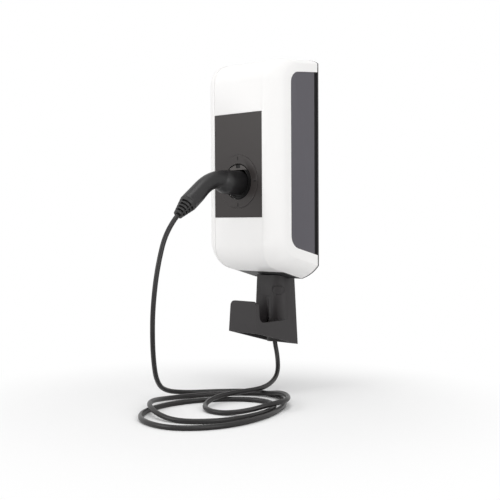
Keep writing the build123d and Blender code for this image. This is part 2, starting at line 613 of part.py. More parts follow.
with BuildPart() as fuse_holder:
    block((fuse_x - 4, fuse_x + 4), (BOARD_Y - 4, BOARD_Y), (0, 30))
    for z in (0, 25):
        block((fuse_x - 4, fuse_x + 4), (BOARD_Y - 11, BOARD_Y - 4), (z, z + 5))
    with Locations((fuse_x, BOARD_Y - 7.5, 15)):
        Cylinder(2.6, 24)
save(fuse_holder.part, "fuse_holder")
socket_x = BOARD_HALF - 24
with BuildPart() as network_socket:
    block((socket_x - 8, socket_x + 8), (BOARD_Y - 14, BOARD_Y), (BOARD_BOTTOM, BOARD_BOTTOM + 21))
    block((socket_x - 6, socket_x + 6), (BOARD_Y - 12, BOARD_Y - 3), (BOARD_BOTTOM, BOARD_BOTTOM + 12),
          Mode.SUBTRACT)
save(network_socket.part, "network_socket")
with BuildPart() as supply_terminal_block:
    block((-52, 22), (CARRIER_FRONT_Y - 24, CARRIER_FRONT_Y), (130, 158))
    for x in range(-44, 20, 14):
        rod(x, 146, 3.4, (CARRIER_FRONT_Y - 24, CARRIER_FRONT_Y - 14), Mode.SUBTRACT)
        post(x, CARRIER_FRONT_Y - 9, 3.0, (146, 158), Mode.SUBTRACT)
save(supply_terminal_block.part, "supply_terminal_block")
with BuildPart() as earth_terminal:
    block((54, 86), (CARRIER_FRONT_Y - 9, CARRIER_FRONT_Y), (138, 148))
    for x in (60, 70, 80):
        rod(x, 143, 2.2, (CARRIER_FRONT_Y - 9, CARRIER_FRONT_Y - 4), Mode.SUBTRACT)
        post(x, CARRIER_FRONT_Y - 5, 1.8, (143, 148), Mode.SUBTRACT)
save(earth_terminal.part, "earth_terminal")
output_low = BOARD_BOTTOM + 2
output_y = BOARD_Y - 7.4                # depth of the terminals' ways
OUTPUT_WAYS = [OUTPUT_X - 12, OUTPUT_X, OUTPUT_X + 12]
with BuildPart() as output_terminal_block:
    block((OUTPUT_X - 22, OUTPUT_X + 22), (BOARD_Y - 18, BOARD_Y), (output_low, output_low + 20))
    for x in OUTPUT_WAYS:
        post(x, output_y, 2.0, (output_low, output_low + 8), Mode.SUBTRACT)
        rod(x, output_low + 12, 2.6, (BOARD_Y - 18, BOARD_Y - 12), Mode.SUBTRACT)
save(output_terminal_block.part, "output_terminal_block")
with BuildPart() as output_leads:
    for shift, x in zip((-2.6, 0, 2.6), OUTPUT_WAYS):
        with BuildLine() as lead_path:
            FilletPolyline((GLAND_X + shift, GLAND_Y, -226), (GLAND_X + shift, GLAND_Y, -219),
                           (x, output_y, -208), (x, output_y, output_low + 7), radius=5)
        with BuildSketch(Plane.XY.offset(-226)):
            with Locations((GLAND_X + shift, GLAND_Y)):
                Circle(1.2)
        sweep(path=lead_path.wire())
save(output_leads.part, "output_leads")

# Service switch and its push button, which travels towards the wall
switch_front = BOARD_Y - 7
switch_x = BOARD_LEFT + 23
switch_z = BOARD_BOTTOM + 51
with BuildPart() as service_switch:
    block((switch_x - 7, switch_x + 7), (switch_front, BOARD_Y), (switch_z - 7, switch_z + 7))
    rod(switch_x, switch_z, 3.3, (switch_front, BOARD_Y - 1.4), Mode.SUBTRACT)
save(service_switch.part, "service_switch")
with BuildPart() as service_button:
    rod(switch_x, switch_z, 3.0, (switch_front - 5, BOARD_Y - 1.4 - BUTTON_TRAVEL - 0.4))
    chamfer(service_button.faces().sort_by(Axis.Y)[0].edges(), 0.6)
save(service_button.part, "service_button")

# Card reader and status light, behind the face panel
reader_y = STRIP_BACK_Y + 8
with BuildPart() as reader_board:
    block((-32, 32), (reader_y, reader_y + BOARD_T), (80, 113))
    for x, z in READER_POINTS:
        rod(x, z, 1.0, (reader_y, reader_y + BOARD_T), Mode.SUBTRACT)
save(reader_board.part, "reader_board")
with BuildPart() as reader_screws:
    for x, z in READER_POINTS:
        screw(x, z, reader_y + BOARD_T, 7, 1.0, -1)
save(reader_screws.part, "reader_screws")
with BuildPart() as light_guide:
    block((-10, 10), (STRIP_BACK_Y, reader_y), (94, 100))
save(light_guide.part, "light_guide")

# Cable hanger: body under the box with a hook tray, a column for the cable and its outlet


def hanger_half(z, less=0.0):
    """Half width of the hanger at height z, set in by less."""
    share = (HANGER_TOP_Z - z) / (HANGER_TOP_Z - HANGER_LOW_Z)
    return HANGER_TOP_HALF + (HANGER_LOW_HALF - HANGER_TOP_HALF) * share - less


def hanger_front(y, top, less, radius):
    """Outline of the hanger seen from the front, up to the height top."""
    low = hanger_half(HANGER_LOW_Z - 9, less)
    high = hanger_half(top, less)
    return outline(Plane.XZ.offset(-y), [(-low, HANGER_LOW_Z - 9), (-high, top), (high, top),
                                         (low, HANGER_LOW_Z - 9)], [radius, radius])


def cheek(z):
    """Depth of the sloping face beside the column at height z."""
    share = (HANGER_TOP_Z - z) / (HANGER_TOP_Z - TRAY_Z)
    return CHEEK_TOP_Y + (CHEEK_LOW_Y - CHEEK_TOP_Y) * share


def column_section(z):
    """Section of the column at height z, stretched out to the side of the hanger."""
    with BuildSketch() as section:
        Circle(COLUMN_R)
        scale(by=((hanger_half(z) + 0.6 - COLUMN_X) / COLUMN_R, 1, 1))
    return Pos(COLUMN_X, COLUMN_Y, z) * section.sketch


def pocket_section(z, depth):
    """Wedge beside the column at height z, flush at the side of the hanger."""
    with BuildSketch(Plane.XY.offset(z)) as section:
        Polygon((1 - hanger_half(z, HANGER_WALL), CHEEK_TOP_Y), (COLUMN_X - 4, CHEEK_TOP_Y),
                (COLUMN_X - 4, CHEEK_TOP_Y + depth), (COLUMN_X - 22, CHEEK_TOP_Y + depth), align=None)
    return section.sketch


def cap_form(inner, outer, less):
    """Oval patch of the column between two radii, less mm smaller all round."""
    turn = math.radians(CAP_TURN)
    cap_plane = Plane(origin=(COLUMN_X, COLUMN_Y, CAP_Z), x_dir=(math.cos(turn), math.sin(turn), 0),
                      z_dir=(math.sin(turn), -math.cos(turn), 0))
    with BuildSketch(cap_plane) as cap_face:
        Ellipse(CAP_W / 2 - less, CAP_H / 2 - less)
    with BuildPart() as form:
        post(COLUMN_X, COLUMN_Y, outer, (CAP_Z - 20, CAP_Z + 20))
        post(COLUMN_X, COLUMN_Y, inner, (CAP_Z - 20, CAP_Z + 20), Mode.SUBTRACT)
        extrude(cap_face.sketch, amount=60, mode=Mode.INTERSECT)
    return form.part


under_box = [(-200, edge_bottom(-200) - 0.5), (FLANGE_REAR_Y + 0.5, edge_bottom(FLANGE_REAR_Y) - 0.5),
             (FLANGE_REAR_Y + 0.5, -150), (-200, -150)]
hanger_side = outline(Plane.YZ.offset(-60), [
    (LIP_TOP_Y, LIP_TOP_Z), (LIP_TOP_Y + LIP_SIDE_T, LIP_TOP_Z), (LIP_TOP_Y + LIP_SIDE_T, TRAY_Z),
    (CHEEK_TOP_Y, TRAY_Z), (CHEEK_TOP_Y, HANGER_TOP_Z), (HANGER_BACK_Y, HANGER_TOP_Z),
    (HANGER_BACK_Y, BACK_FOOT_Z), (LIP_Y, LIP_FOOT_Z)], [2.0, 14.0, 4.0, 1.0, 1.0, 1.0])
floor_low = HANGER_FLOOR_Z - HANGER_WALL
lip_back = LIP_TOP_Y + LIP_SIDE_T
with BuildPart() as hanger_side_form:
    extrude(hanger_side, amount=120)
with BuildPart() as hanger_envelope:
    extrude(hanger_front(HANGER_BACK_Y, HANGER_TOP_Z, 0, 1.5), amount=HANGER_BACK_Y - lip_back)
    extrude(hanger_front(lip_back, LIP_TOP_Z, 0, 12.0), amount=lip_back - LIP_Y)
with BuildPart() as column_side:
    loft([column_section(floor_low), column_section(HANGER_TOP_Z)])
    block((COLUMN_X, 60), (-70, 0), (floor_low, HANGER_TOP_Z), Mode.INTERSECT)
with BuildPart() as hanger_column:
    post(COLUMN_X, COLUMN_Y, COLUMN_R, (floor_low, HANGER_TOP_Z))
    block((COLUMN_X, 60), (-70, 0), (floor_low, HANGER_TOP_Z), Mode.SUBTRACT)
    add(column_side.part)
    add(hanger_envelope.part, mode=Mode.INTERSECT)
    post(COLUMN_X, COLUMN_Y, COLUMN_R - COLUMN_WALL, (HANGER_FLOOR_Z, -200), Mode.SUBTRACT)
with BuildPart() as hanger_tray:
    extrude(hanger_front(-30, -250, HANGER_WALL, 1.5), amount=LIP_TOP_Y * -1 - 5 - 30)
    extrude(profile([(-150, -200), (-150, HANGER_FLOOR_Z), (CHEEK_TOP_Y, HANGER_FLOOR_Z),
                     (CHEEK_TOP_Y, -200)], -60), amount=120, mode=Mode.INTERSECT)
with BuildPart() as hanger_pocket:
    loft([pocket_section(POCKET_TOP_Z, 0.4), pocket_section(HANGER_FLOOR_Z, CHEEK_LOW_Y - CHEEK_TOP_Y)])
with BuildPart() as hanger_hollow:
    extrude(hanger_front(HANGER_BACK_Y - 4, -258, HANGER_WALL, 3.0), amount=LIP_Y * -1 - 4 - 16)
    extrude(profile([(HANGER_BACK_Y - 4, -430), (HANGER_BACK_Y - 4, -258),
                     (cheek(-258) + 4, -258), (cheek(floor_low) + 4, floor_low),
                     (LIP_Y + 4, floor_low), (LIP_Y + 4, -430)], -60), amount=120, mode=Mode.INTERSECT)
hanger_cap = cap_form(COLUMN_R - CAP_SEAT, COLUMN_R + 0.1, CAP_GROOVE)
save(hanger_cap, "hanger_cap")

with BuildPart() as cable_hanger:
    add(hanger_envelope.part)
    add(hanger_side_form.part, mode=Mode.INTERSECT)
    add(hanger_hollow.part, mode=Mode.SUBTRACT)
    add(hanger_tray.part, mode=Mode.SUBTRACT)
    add(hanger_pocket.part, mode=Mode.SUBTRACT)
    block((COLUMN_X, 60), (CHEEK_TOP_Y - 6, COLUMN_Y), (TRAY_Z, -225), Mode.SUBTRACT)
    block((-34, -12), (-48, -28), (HANGER_FLOOR_Z, -334), Mode.SUBTRACT)
    block((-38, -8), (-48, -24.4), (floor_low, HANGER_FLOOR_Z))
    post(COLUMN_X, COLUMN_Y, COLUMN_R - COLUMN_WALL, (HANGER_FLOOR_Z, -200), Mode.SUBTRACT)
    add(hanger_column.part)
    post(OUTLET_X, OUTLET_Y, OUTLET_R, (OUTLET_Z, floor_low))
    post(OUTLET_X, OUTLET_Y, OUTLET_R - OUTLET_WALL, (OUTLET_Z, HANGER_FLOOR_Z), Mode.SUBTRACT)
    extrude(profile(under_box, -60), amount=120, mode=Mode.SUBTRACT)
    block((-20, 20), (-24, HANGER_BACK_Y), (HANGER_TOP_Z - 12, TRAY_BOTTOM))
    for x in (-14, 14):
        post(x, -18, 1.5, (TRAY_BOTTOM - 9, TRAY_BOTTOM), Mode.SUBTRACT)
    for x in (-17, 17):
        rod(x, -376, 1.7, (HANGER_BACK_Y, HANGER_BACK_Y - 4), Mode.SUBTRACT)
    add(cap_form(COLUMN_R - CAP_SEAT, COLUMN_R + 4, 0.0), mode=Mode.SUBTRACT)
save(cable_hanger.part, "cable_hanger")

with BuildPart() as hanger_wall_plate:
    block((-23, 23), (HANGER_BACK_Y, 0), (-385, -262))
    block((-16, 16), (HANGER_BACK_Y + 3, 0), (-366, -270), Mode.SUBTRACT)
    for z in (-350, -286):
        rod(0, z, 7.0, (HANGER_BACK_Y + 3, 0))
        rod(0, z, 2.6, (HANGER_BACK_Y, 0), Mode.SUBTRACT)
    for x in (-17, 17):
        rod(x, -376, 1.7, (HANGER_BACK_Y, HANGER_BACK_Y + 9), Mode.SUBTRACT)
save(hanger_wall_plate.part, "hanger_wall_plate")

with BuildPart() as hanger_screws:
    for x in (-17, 17):
        screw(x, -376, HANGER_BACK_Y - 4, 12, 1.7)
    for x in (-14, 14):
        post(x, -18, 1.5, (TRAY_BOTTOM - 8, TRAY_BOTTOM + TRAY_WALL))
        post(x, -18, 2.9, (TRAY_BOTTOM + TRAY_WALL, TRAY_BOTTOM + TRAY_WALL + 2.2))
save(hanger_screws.part, "hanger_screws")

# Plug: shell with a round body and a bent grip, nose, insert, sleeves and bend relief


def grip_circles(less):
    """Circles along the grip's centre line, each less mm smaller."""
    faces = []
    for y, z, radius, tilt in GRIP:
        lean = math.radians(tilt)
        with BuildSketch(Plane(origin=(0, y, z), x_dir=(1, 0, 0),
                               z_dir=(0, -math.cos(lean), -math.sin(lean)))) as face:
            Circle(radius - less)
        faces.append(face.sketch)
    return faces


def plug_form(less, start):
    """Outer form of the plug's shell, less mm smaller, from the depth start."""
    with BuildSketch(Plane.YZ) as section:
        with Locations((PLUG_BODY_Y, PLUG_Z)):
            Ellipse(PLUG_END_R - less, PLUG_R - less)
        with Locations(((start + PLUG_BODY_Y) / 2, PLUG_Z)):
            Rectangle(start - PLUG_BODY_Y, 2 * (PLUG_R - less))
        with Locations((start + 50, PLUG_Z)):
            Rectangle(100, 100, mode=Mode.SUBTRACT)
        with Locations((PLUG_BODY_Y, PLUG_Z - 50)):
            Rectangle(300, 100, mode=Mode.SUBTRACT)
    with BuildPart() as form:
        revolve(section.sketch, axis=Axis((0, 0, PLUG_Z), (0, 1, 0)))
        loft(grip_circles(less))
    return form.part


plug_outer = plug_form(0.0, PLUG_FACE_Y)
plug_inner = plug_form(PLUG_WALL, PLUG_FACE_Y)
boot_y, boot_z, boot_r, boot_tilt = GRIP[-1]
boot_lean = math.radians(boot_tilt)
boot_plane = Plane(origin=(0, boot_y, boot_z), x_dir=(1, 0, 0),
                   z_dir=(0, -math.cos(boot_lean), -math.sin(boot_lean)))
with BuildPart() as plug_shell:
    add(plug_outer)
    add(plug_inner, mode=Mode.SUBTRACT)
save(plug_shell.part, "plug_shell")

with BuildPart() as plug_nose:
    rod(0, PLUG_Z, NOSE_R, (PLUG_FACE_Y, NOSE_Y))
    block((-30, 30), (PLUG_FACE_Y, NOSE_Y), (PLUG_Z + 19, PLUG_Z + 30), Mode.SUBTRACT)
    rod(0, PLUG_Z, PLUG_R - PLUG_WALL, (PLUG_FACE_Y - 8, PLUG_FACE_Y))
    rod(0, PLUG_Z, 17.5, (PLUG_FACE_Y - 8, NOSE_Y), Mode.SUBTRACT)
save(plug_nose.part, "plug_nose")

CONTACTS = [(0, 0, 3.6)] + [(8.6, turn, 3.2) for turn in (0, 180, 60, 120, 240, 300)]
with BuildPart() as plug_insert:
    rod(0, PLUG_Z, 17.5, (PLUG_FACE_Y - 6, NOSE_Y - 4))
    for reach, turn, radius in CONTACTS:
        x = reach * math.cos(math.radians(turn))
        z = PLUG_Z + reach * math.sin(math.radians(turn))
        rod(x, z, radius, (PLUG_FACE_Y - 6, NOSE_Y - 4), Mode.SUBTRACT)
save(plug_insert.part, "plug_insert")
with BuildPart() as plug_contacts:
    for reach, turn, radius in CONTACTS:
        x = reach * math.cos(math.radians(turn))
        z = PLUG_Z + reach * math.sin(math.radians(turn))
        rod(x, z, radius, (PLUG_FACE_Y - 12, NOSE_Y - 6))
        rod(x, z, radius - 1.0, (NOSE_Y - 24, NOSE_Y - 6), Mode.SUBTRACT)
save(plug_contacts.part, "plug_contacts")

with BuildPart() as plug_strain_relief:
    with BuildSketch(boot_plane) as boot_start:
        Circle(boot_r)
    with BuildSketch(boot_plane.offset(BOOT_L)) as boot_end:
        Circle(BOOT_TIP_R)
    loft([boot_start.sketch, boot_end.sketch])
    for row in range(BOOT_ROWS):
        with BuildSketch(boot_plane.offset(7 + 7.6 * row)) as slots:
            Circle(30)
            Circle(boot_r - (boot_r - BOOT_TIP_R) * (7 + 7.6 * row) / BOOT_L - SLOT_DEPTH, mode=Mode.SUBTRACT)
            Rectangle(60, 2.6, mode=Mode.SUBTRACT)
            Rectangle(2.6, 60, mode=Mode.SUBTRACT)
        extrude(slots.sketch, amount=SLOT_W, mode=Mode.SUBTRACT)
    with BuildSketch(boot_plane.offset(-8)) as boot_stem:
        Circle(boot_r - PLUG_WALL - 1.2)
    extrude(boot_stem.sketch, amount=9)
    with BuildSketch(boot_plane.offset(-20)) as boot_bore:
        Circle(CABLE_R + 0.05)
    extrude(boot_bore.sketch, amount=80, mode=Mode.SUBTRACT)
save(plug_strain_relief.part, "plug_strain_relief")

# Charging cable, from its end inside the box to the plug
with BuildPart() as charging_cable:
    radii = []
    for before, here, after in zip(ROUTE, ROUTE[1:], ROUTE[2:]):
        first = Vector(*here) - Vector(*before)
        second = Vector(*after) - Vector(*here)
        half_turn = math.radians(first.get_angle(second)) / 2
        radii.append(0.45 * min(first.length, second.length) / math.tan(half_turn))
    with BuildLine() as cable_line:
        FilletPolyline(*ROUTE, radius=radii)
    with BuildSketch(Plane.XY.offset(ROUTE[0][2])):
        with Locations((GLAND_X, GLAND_Y)):
            Circle(CABLE_R)
    sweep(path=cable_line.wire())
save(charging_cable.part, "charging_cable")
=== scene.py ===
"""Wall charger for electric cars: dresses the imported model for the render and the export."""

import logging
import math
from dataclasses import dataclass, field
from enum import Enum
from typing import Any, Callable, Iterable, Sequence

import bmesh
import bpy
from mathutils import Matrix, Vector


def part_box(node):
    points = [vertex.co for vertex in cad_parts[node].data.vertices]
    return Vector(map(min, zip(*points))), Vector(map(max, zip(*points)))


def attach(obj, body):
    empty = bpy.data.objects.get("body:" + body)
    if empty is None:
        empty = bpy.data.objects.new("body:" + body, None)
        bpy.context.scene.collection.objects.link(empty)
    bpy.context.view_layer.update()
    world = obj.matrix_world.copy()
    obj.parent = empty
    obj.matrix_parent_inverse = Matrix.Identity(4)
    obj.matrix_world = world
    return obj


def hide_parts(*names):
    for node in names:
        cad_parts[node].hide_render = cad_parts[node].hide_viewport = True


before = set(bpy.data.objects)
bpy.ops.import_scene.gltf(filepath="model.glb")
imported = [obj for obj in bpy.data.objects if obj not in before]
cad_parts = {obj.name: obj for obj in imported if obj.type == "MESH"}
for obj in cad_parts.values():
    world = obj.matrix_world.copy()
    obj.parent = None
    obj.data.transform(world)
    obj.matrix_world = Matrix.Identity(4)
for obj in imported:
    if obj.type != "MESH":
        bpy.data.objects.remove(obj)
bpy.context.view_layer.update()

logging.basicConfig(level=logging.INFO, format="%(levelname)s %(name)s: %(message)s")
log = logging.getLogger("wall_charger")

BODY = "charger"
BUTTON = "button"
FORWARD = (90.0, 0.0, 0.0)
BACKWARD = (-90.0, 0.0, 0.0)


def linear(red: float, green: float, blue: float) -> tuple[float, float, float, float]:
    """Scene colour of a display colour.

    Args:
        red: Display red, 0 to 255.
        green: Display green, 0 to 255.
        blue: Display blue, 0 to 255.

    Returns:
        The linear colour with full alpha.
    """
    parts = [value / 255.0 for value in (red, green, blue)]
    scene = [v / 12.92 if v <= 0.04045 else ((v + 0.055) / 1.055) ** 2.4 for v in parts]
    return (scene[0], scene[1], scene[2], 1.0)


# Node trees


class Wire:
    """One output socket of a node tree, with arithmetic that adds Math nodes."""

    def __init__(self, tree: "Tree", socket: bpy.types.NodeSocket) -> None:
        """Wrap a socket.

        Args:
            tree: The tree that the socket belongs to.
            socket: The output socket.
        """
        self.tree = tree
        self.socket = socket

    def _math(self, operation: str, first: Any, second: Any) -> "Wire":
        """Add one Math node.

        Args:
            operation: The node's operation.
            first: Wire or number for its first socket.
            second: Wire or number for its second socket.

        Returns:
            The node's output.
        """
        return self.tree.node("ShaderNodeMath", {"operation": operation}, {0: first, 1: second})

    def __add__(self, other: Any) -> "Wire":
        """Sum."""
        return self._math("ADD", self, other)

    def __radd__(self, other: Any) -> "Wire":
        """Sum, reflected."""
        return self._math("ADD", other, self)

    def __sub__(self, other: Any) -> "Wire":
        """Difference."""
        return self._math("SUBTRACT", self, other)

    def __rsub__(self, other: Any) -> "Wire":
        """Difference, reflected."""
        return self._math("SUBTRACT", other, self)

    def __mul__(self, other: Any) -> "Wire":
        """Product."""
        return self._math("MULTIPLY", self, other)

    def __rmul__(self, other: Any) -> "Wire":
        """Product, reflected."""
        return self._math("MULTIPLY", other, self)

    def __pow__(self, other: Any) -> "Wire":
        """Power."""
        return self._math("POWER", self, other)


class Tree:
    """A shader or geometry node tree that is being built."""

    def __init__(self, tree: bpy.types.NodeTree) -> None:
        """Start on an empty tree.

        Args:
            tree: The tree to fill.
        """
        self.tree = tree
        tree.nodes.clear()

    def put(self, socket: bpy.types.NodeSocket, value: Any) -> None:
        """Link a wire to an input socket, or set its value.

        Args:
            socket: The input socket.
            value: Wire, number, tuple or data block.
        """
        if isinstance(value, Wire):
            self.tree.links.new(value.socket, socket)
        else:
            socket.default_value = value

    def node(self, kind: str, settings: dict[str, Any] | None = None,
             sockets: dict[Any, Any] | None = None, out: Any = 0) -> Wire:
        """Add a node of any type.

        Args:
            kind: The node's type.
            settings: Properties set before the sockets; "stops" fills a colour ramp.
            sockets: Values or wires by input name or index.
            out: Name or index of the output that is returned.

        Returns:
            The chosen output.
        """
        made = self.tree.nodes.new(kind)
        for name, value in (settings or {}).items():
            if name == "stops":
                ramp = made.color_ramp
                while len(ramp.elements) < len(value):
                    ramp.elements.new(0.5)
                for element, (place, colour) in zip(ramp.elements, value):
                    element.position = place
                    element.color = colour
            else:
                setattr(made, name, value)
        for name, value in (sockets or {}).items():
            if isinstance(name, str):
                socket = next(s for s in made.inputs if s.name == name and s.enabled)
            else:
                socket = made.inputs[name]
            self.put(socket, value)
        if isinstance(out, str):
            return Wire(self, next(s for s in made.outputs if s.name == out and s.enabled))
        return Wire(self, made.outputs[out]) if made.outputs else Wire(self, None)


class Grain(Enum):
    """Kinds of surface that the charger's materials have."""

    MOULDED = "moulded"
    ERODED = "eroded"
    SHEET = "sheet"
    RUBBER = "rubber"
    METAL = "metal"
    BOARD = "board"
    CLEAR = "clear"


# Scale and detail of each surface's noise, per metre
NOISE = {
    Grain.MOULDED: (260.0, 3.0),
    Grain.ERODED: (900.0, 4.0),
    Grain.SHEET: (1800.0, 2.0),
    Grain.RUBBER: (420.0, 5.0),
    Grain.METAL: (2600.0, 2.0),
    Grain.BOARD: (260.0, 3.0),
    Grain.CLEAR: (260.0, 3.0),
}
BRUSHED = (1.0, 1.0, 0.04)
CELL_SCALE = 1500.0
MOTTLE_SCALE = 14.0
TRACK_SCALE = 90.0
TRACK_COLOUR = (120, 150, 90)


@dataclass(frozen=True)
class Finish:
    """Colour and surface of one material."""

    name: str
    slot: str
    colour: tuple[float, float, float, float]
    roughness: float
    grain: Grain
    depth: float = 0.00002
    mottle: float = 0.04
    metallic: float = 0.0
    specular: float = 0.5
    coat: float = 0.0
    sheen: float = 0.0


WHITE_COVER = Finish("white cover", "white_cover", linear(240, 239, 238), 0.42, Grain.MOULDED,
                     0.000012, 0.012, specular=0.4)
FACE_SHEET = Finish("face sheet", "face_grey", linear(54, 50, 49), 0.34, Grain.SHEET, 0.000008,
                    0.03, specular=0.28)
SIDE_SHEET = Finish("side sheet", "side_grey", linear(83, 81, 87), 0.40, Grain.SHEET, 0.000008,
                    0.03, specular=0.4)
HOUSING = Finish("housing", "housing_grey", linear(46, 45, 47), 0.55, Grain.ERODED, 0.00003, 0.05)
CHARCOAL = Finish("charcoal moulding", "charcoal", linear(24, 23, 24), 0.40, Grain.ERODED,
                  0.00003, 0.05, specular=0.45)
HANGER = Finish("hanger moulding", "charcoal", linear(40, 37, 38), 0.48, Grain.ERODED, 0.00004,
                0.05, specular=0.4)
CRESCENT = Finish("crescent plate", "crescent_grey", linear(68, 63, 61), 0.45, Grain.MOULDED)
CABLE = Finish("cable jacket", "cable_rubber", linear(27, 25, 25), 0.36, Grain.RUBBER, 0.00004,
               0.06, specular=0.4)
BOOT = Finish("bend relief", "cable_rubber", linear(24, 23, 23), 0.5, Grain.RUBBER, 0.00003, 0.05)
SEAL = Finish("seal rubber", "seal_rubber", linear(34, 34, 34), 0.7, Grain.RUBBER, 0.00003, 0.08)
STEEL = Finish("screw steel", "screw_steel", linear(176, 176, 180), 0.34, Grain.METAL, 0.00001,
               0.08, metallic=1.0)
SILVER = Finish("contact silver", "contact_silver", linear(205, 203, 198), 0.24, Grain.METAL,
                0.000008, 0.06, metallic=1.0)
CARRIER = Finish("carrier steel", "carrier_steel", linear(150, 152, 155), 0.4, Grain.METAL,
                 0.00001, 0.08, metallic=0.8)
BRASS = Finish("brass", "earth_brass", linear(186, 158, 92), 0.34, Grain.METAL, 0.00001, 0.08,
               metallic=1.0)
BOARD = Finish("board lacquer", "board_green", linear(22, 84, 48), 0.38, Grain.BOARD, 0.00002,
               0.06, coat=0.3)
TERMINAL = Finish("terminal grey", "terminal_grey", linear(138, 141, 144), 0.5, Grain.MOULDED)
BLACK = Finish("black moulding", "part_black", linear(36, 36, 37), 0.5, Grain.ERODED, 0.00003)
# Near-black copy of the black moulding: painted shade, used on the holder's cup round the plug and on
# the floors of the tick slots.
PAINTED_SHADE_BLACK = Finish("mouth black", "part_black", linear(18, 17, 17), 0.6, Grain.ERODED, 0.00003,
               specular=0.25)
BLUE = Finish("blue moulding", "part_blue", linear(42, 70, 130), 0.42, Grain.MOULDED)
IVORY = Finish("ivory moulding", "part_white", linear(222, 220, 212), 0.4, Grain.MOULDED)
LIGHT = Finish("light guide", "light_clear", linear(226, 232, 230), 0.3, Grain.CLEAR)


class Paint:
    """Makes one material from each finish, once."""

    made: dict[str, bpy.types.Material] = {}

    @classmethod
    def of(cls, finish: Finish) -> bpy.types.Material:
        """Material of a finish.

        Args:
            finish: The finish.

        Returns:
            The material, made on first use.
        """
        if finish.name not in cls.made:
            cls.made[finish.name] = cls._build(finish)
        return cls.made[finish.name]

    @classmethod
    def _build(cls, finish: Finish) -> bpy.types.Material:
        """Build the node tree of a finish.

        Args:
            finish: The finish.

        Returns:
            The new material.
        """
        material = bpy.data.materials.new(finish.name.replace(" ", "_"))
        material.use_nodes = True
        tree = Tree(material.node_tree)
        place = tree.node("ShaderNodeTexCoord", out="Object")
        broad = tree.node("ShaderNodeTexNoise", None,
                          {"Vector": place, "Scale": MOTTLE_SCALE, "Detail": 3.0}, "Fac")
        fine, bump_height = cls._relief(tree, finish, place)
        value = 1.0 + (broad - 0.5) * (2.0 * finish.mottle) + (fine - 0.5) * finish.mottle
        colour = tree.node("ShaderNodeVectorMath", {"operation": "SCALE"},
                           {"Vector": finish.colour[:3], "Scale": value}, "Vector")
        if finish.grain is Grain.BOARD:
            tracks = tree.node("ShaderNodeTexBrick", {"offset": 0.5},
                               {"Vector": place, "Scale": TRACK_SCALE, "Mortar Size": 0.03,
                                "Color1": (0, 0, 0, 1), "Color2": (0, 0, 0, 1),
                                "Mortar": (1, 1, 1, 1)}, "Fac")
            colour = tree.node("ShaderNodeMix", {"data_type": "RGBA"},
                               {0: tracks * 0.35, 6: colour, 7: linear(*TRACK_COLOUR)}, 2)
        rough = finish.roughness * (1.0 + (fine - 0.5) * 0.18 + (broad - 0.5) * 0.12)
        bump = tree.node("ShaderNodeBump", None,
                         {"Strength": 0.6, "Distance": finish.depth * 4, "Height": bump_height},
                         "Normal")
        shader = tree.node("ShaderNodeBsdfPrincipled", None, {
            "Base Color": colour, "Roughness": rough, "Metallic": finish.metallic,
            "Specular IOR Level": finish.specular, "Coat Weight": finish.coat,
            "Sheen Weight": finish.sheen, "Normal": bump})
        if finish.grain is Grain.CLEAR:
            shader.socket.node.inputs["Transmission Weight"].default_value = 0.7
        tree.node("ShaderNodeOutputMaterial", None, {"Surface": shader})
        return material

    @staticmethod
    def _relief(tree: Tree, finish: Finish, place: Wire) -> tuple[Wire, Wire]:
        """Fine pattern of a surface.

        Args:
            tree: The material's tree.
            finish: The finish.
            place: Object coordinates.

        Returns:
            A pattern for colour and roughness, and one for the bump.
        """
        scale, detail = NOISE[finish.grain]
        if finish.grain is Grain.METAL:
            place = tree.node("ShaderNodeMapping", None,
                              {"Vector": place, "Scale": BRUSHED}, "Vector")
        grit = tree.node("ShaderNodeTexNoise", None,
                         {"Vector": place, "Scale": scale, "Detail": detail}, "Fac")
        if finish.grain is Grain.ERODED:
            cells = tree.node("ShaderNodeTexVoronoi", {"feature": "F1"},
                              {"Vector": place, "Scale": CELL_SCALE}, "Distance")
            return grit, grit * 0.6 + cells * 0.4
        return grit, grit


# Meshes


def link(name: str, mesh: bpy.types.Mesh) -> bpy.types.Object:
    """Put a mesh into the scene.

    Args:
        name: Name of the new piece.
        mesh: Its mesh.

    Returns:
        The new object.
    """
    piece = bpy.data.objects.new(name, mesh)
    bpy.context.scene.collection.objects.link(piece)
    return piece


def dress(piece: bpy.types.Object, finish: Finish) -> bpy.types.Object:
    """Give a piece one material on its whole surface.

    Args:
        piece: The piece.
        finish: Its finish.

    Returns:
        The same piece.
    """
    piece.data.materials.clear()
    piece.data.materials.append(Paint.of(finish))
    return piece


def merged(node: str, name: str) -> bpy.types.Object:
    """Copy a CAD node as one clean mesh.

    Args:
        node: The CAD node.
        name: Name of the copy.

    Returns:
        The copy, with its corners merged and its flat parts joined.
    """
    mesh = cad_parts[node].data.copy()
    work = bmesh.new()
    work.from_mesh(mesh)
    bmesh.ops.remove_doubles(work, verts=work.verts, dist=2e-6)
    bmesh.ops.dissolve_limit(work, angle_limit=math.radians(0.4), verts=work.verts,
                             edges=work.edges)
    work.to_mesh(mesh)
    work.free()
    mesh.name = name
    return link(name, mesh)


def soften(piece: bpy.types.Object, width: float, angle: float = 32.0) -> None:
    """Round a piece's edges and shade it smooth.

    Args:
        piece: The piece.
        width: Width of the rounding, in metres; none if zero.
        angle: Edges sharper than this many degrees are edges of the piece.
    """
    piece.data.shade_smooth()
    piece.data.set_sharp_from_angle(angle=math.radians(angle))
    if width > 0.0:
        bevel = piece.modifiers.new("rounding", "BEVEL")
        bevel.width = width
        bevel.segments = 2
        bevel.limit_method = "ANGLE"
        bevel.angle_limit = math.radians(angle)
        bevel.harden_normals = True
        bevel.miter_outer = "MITER_ARC"


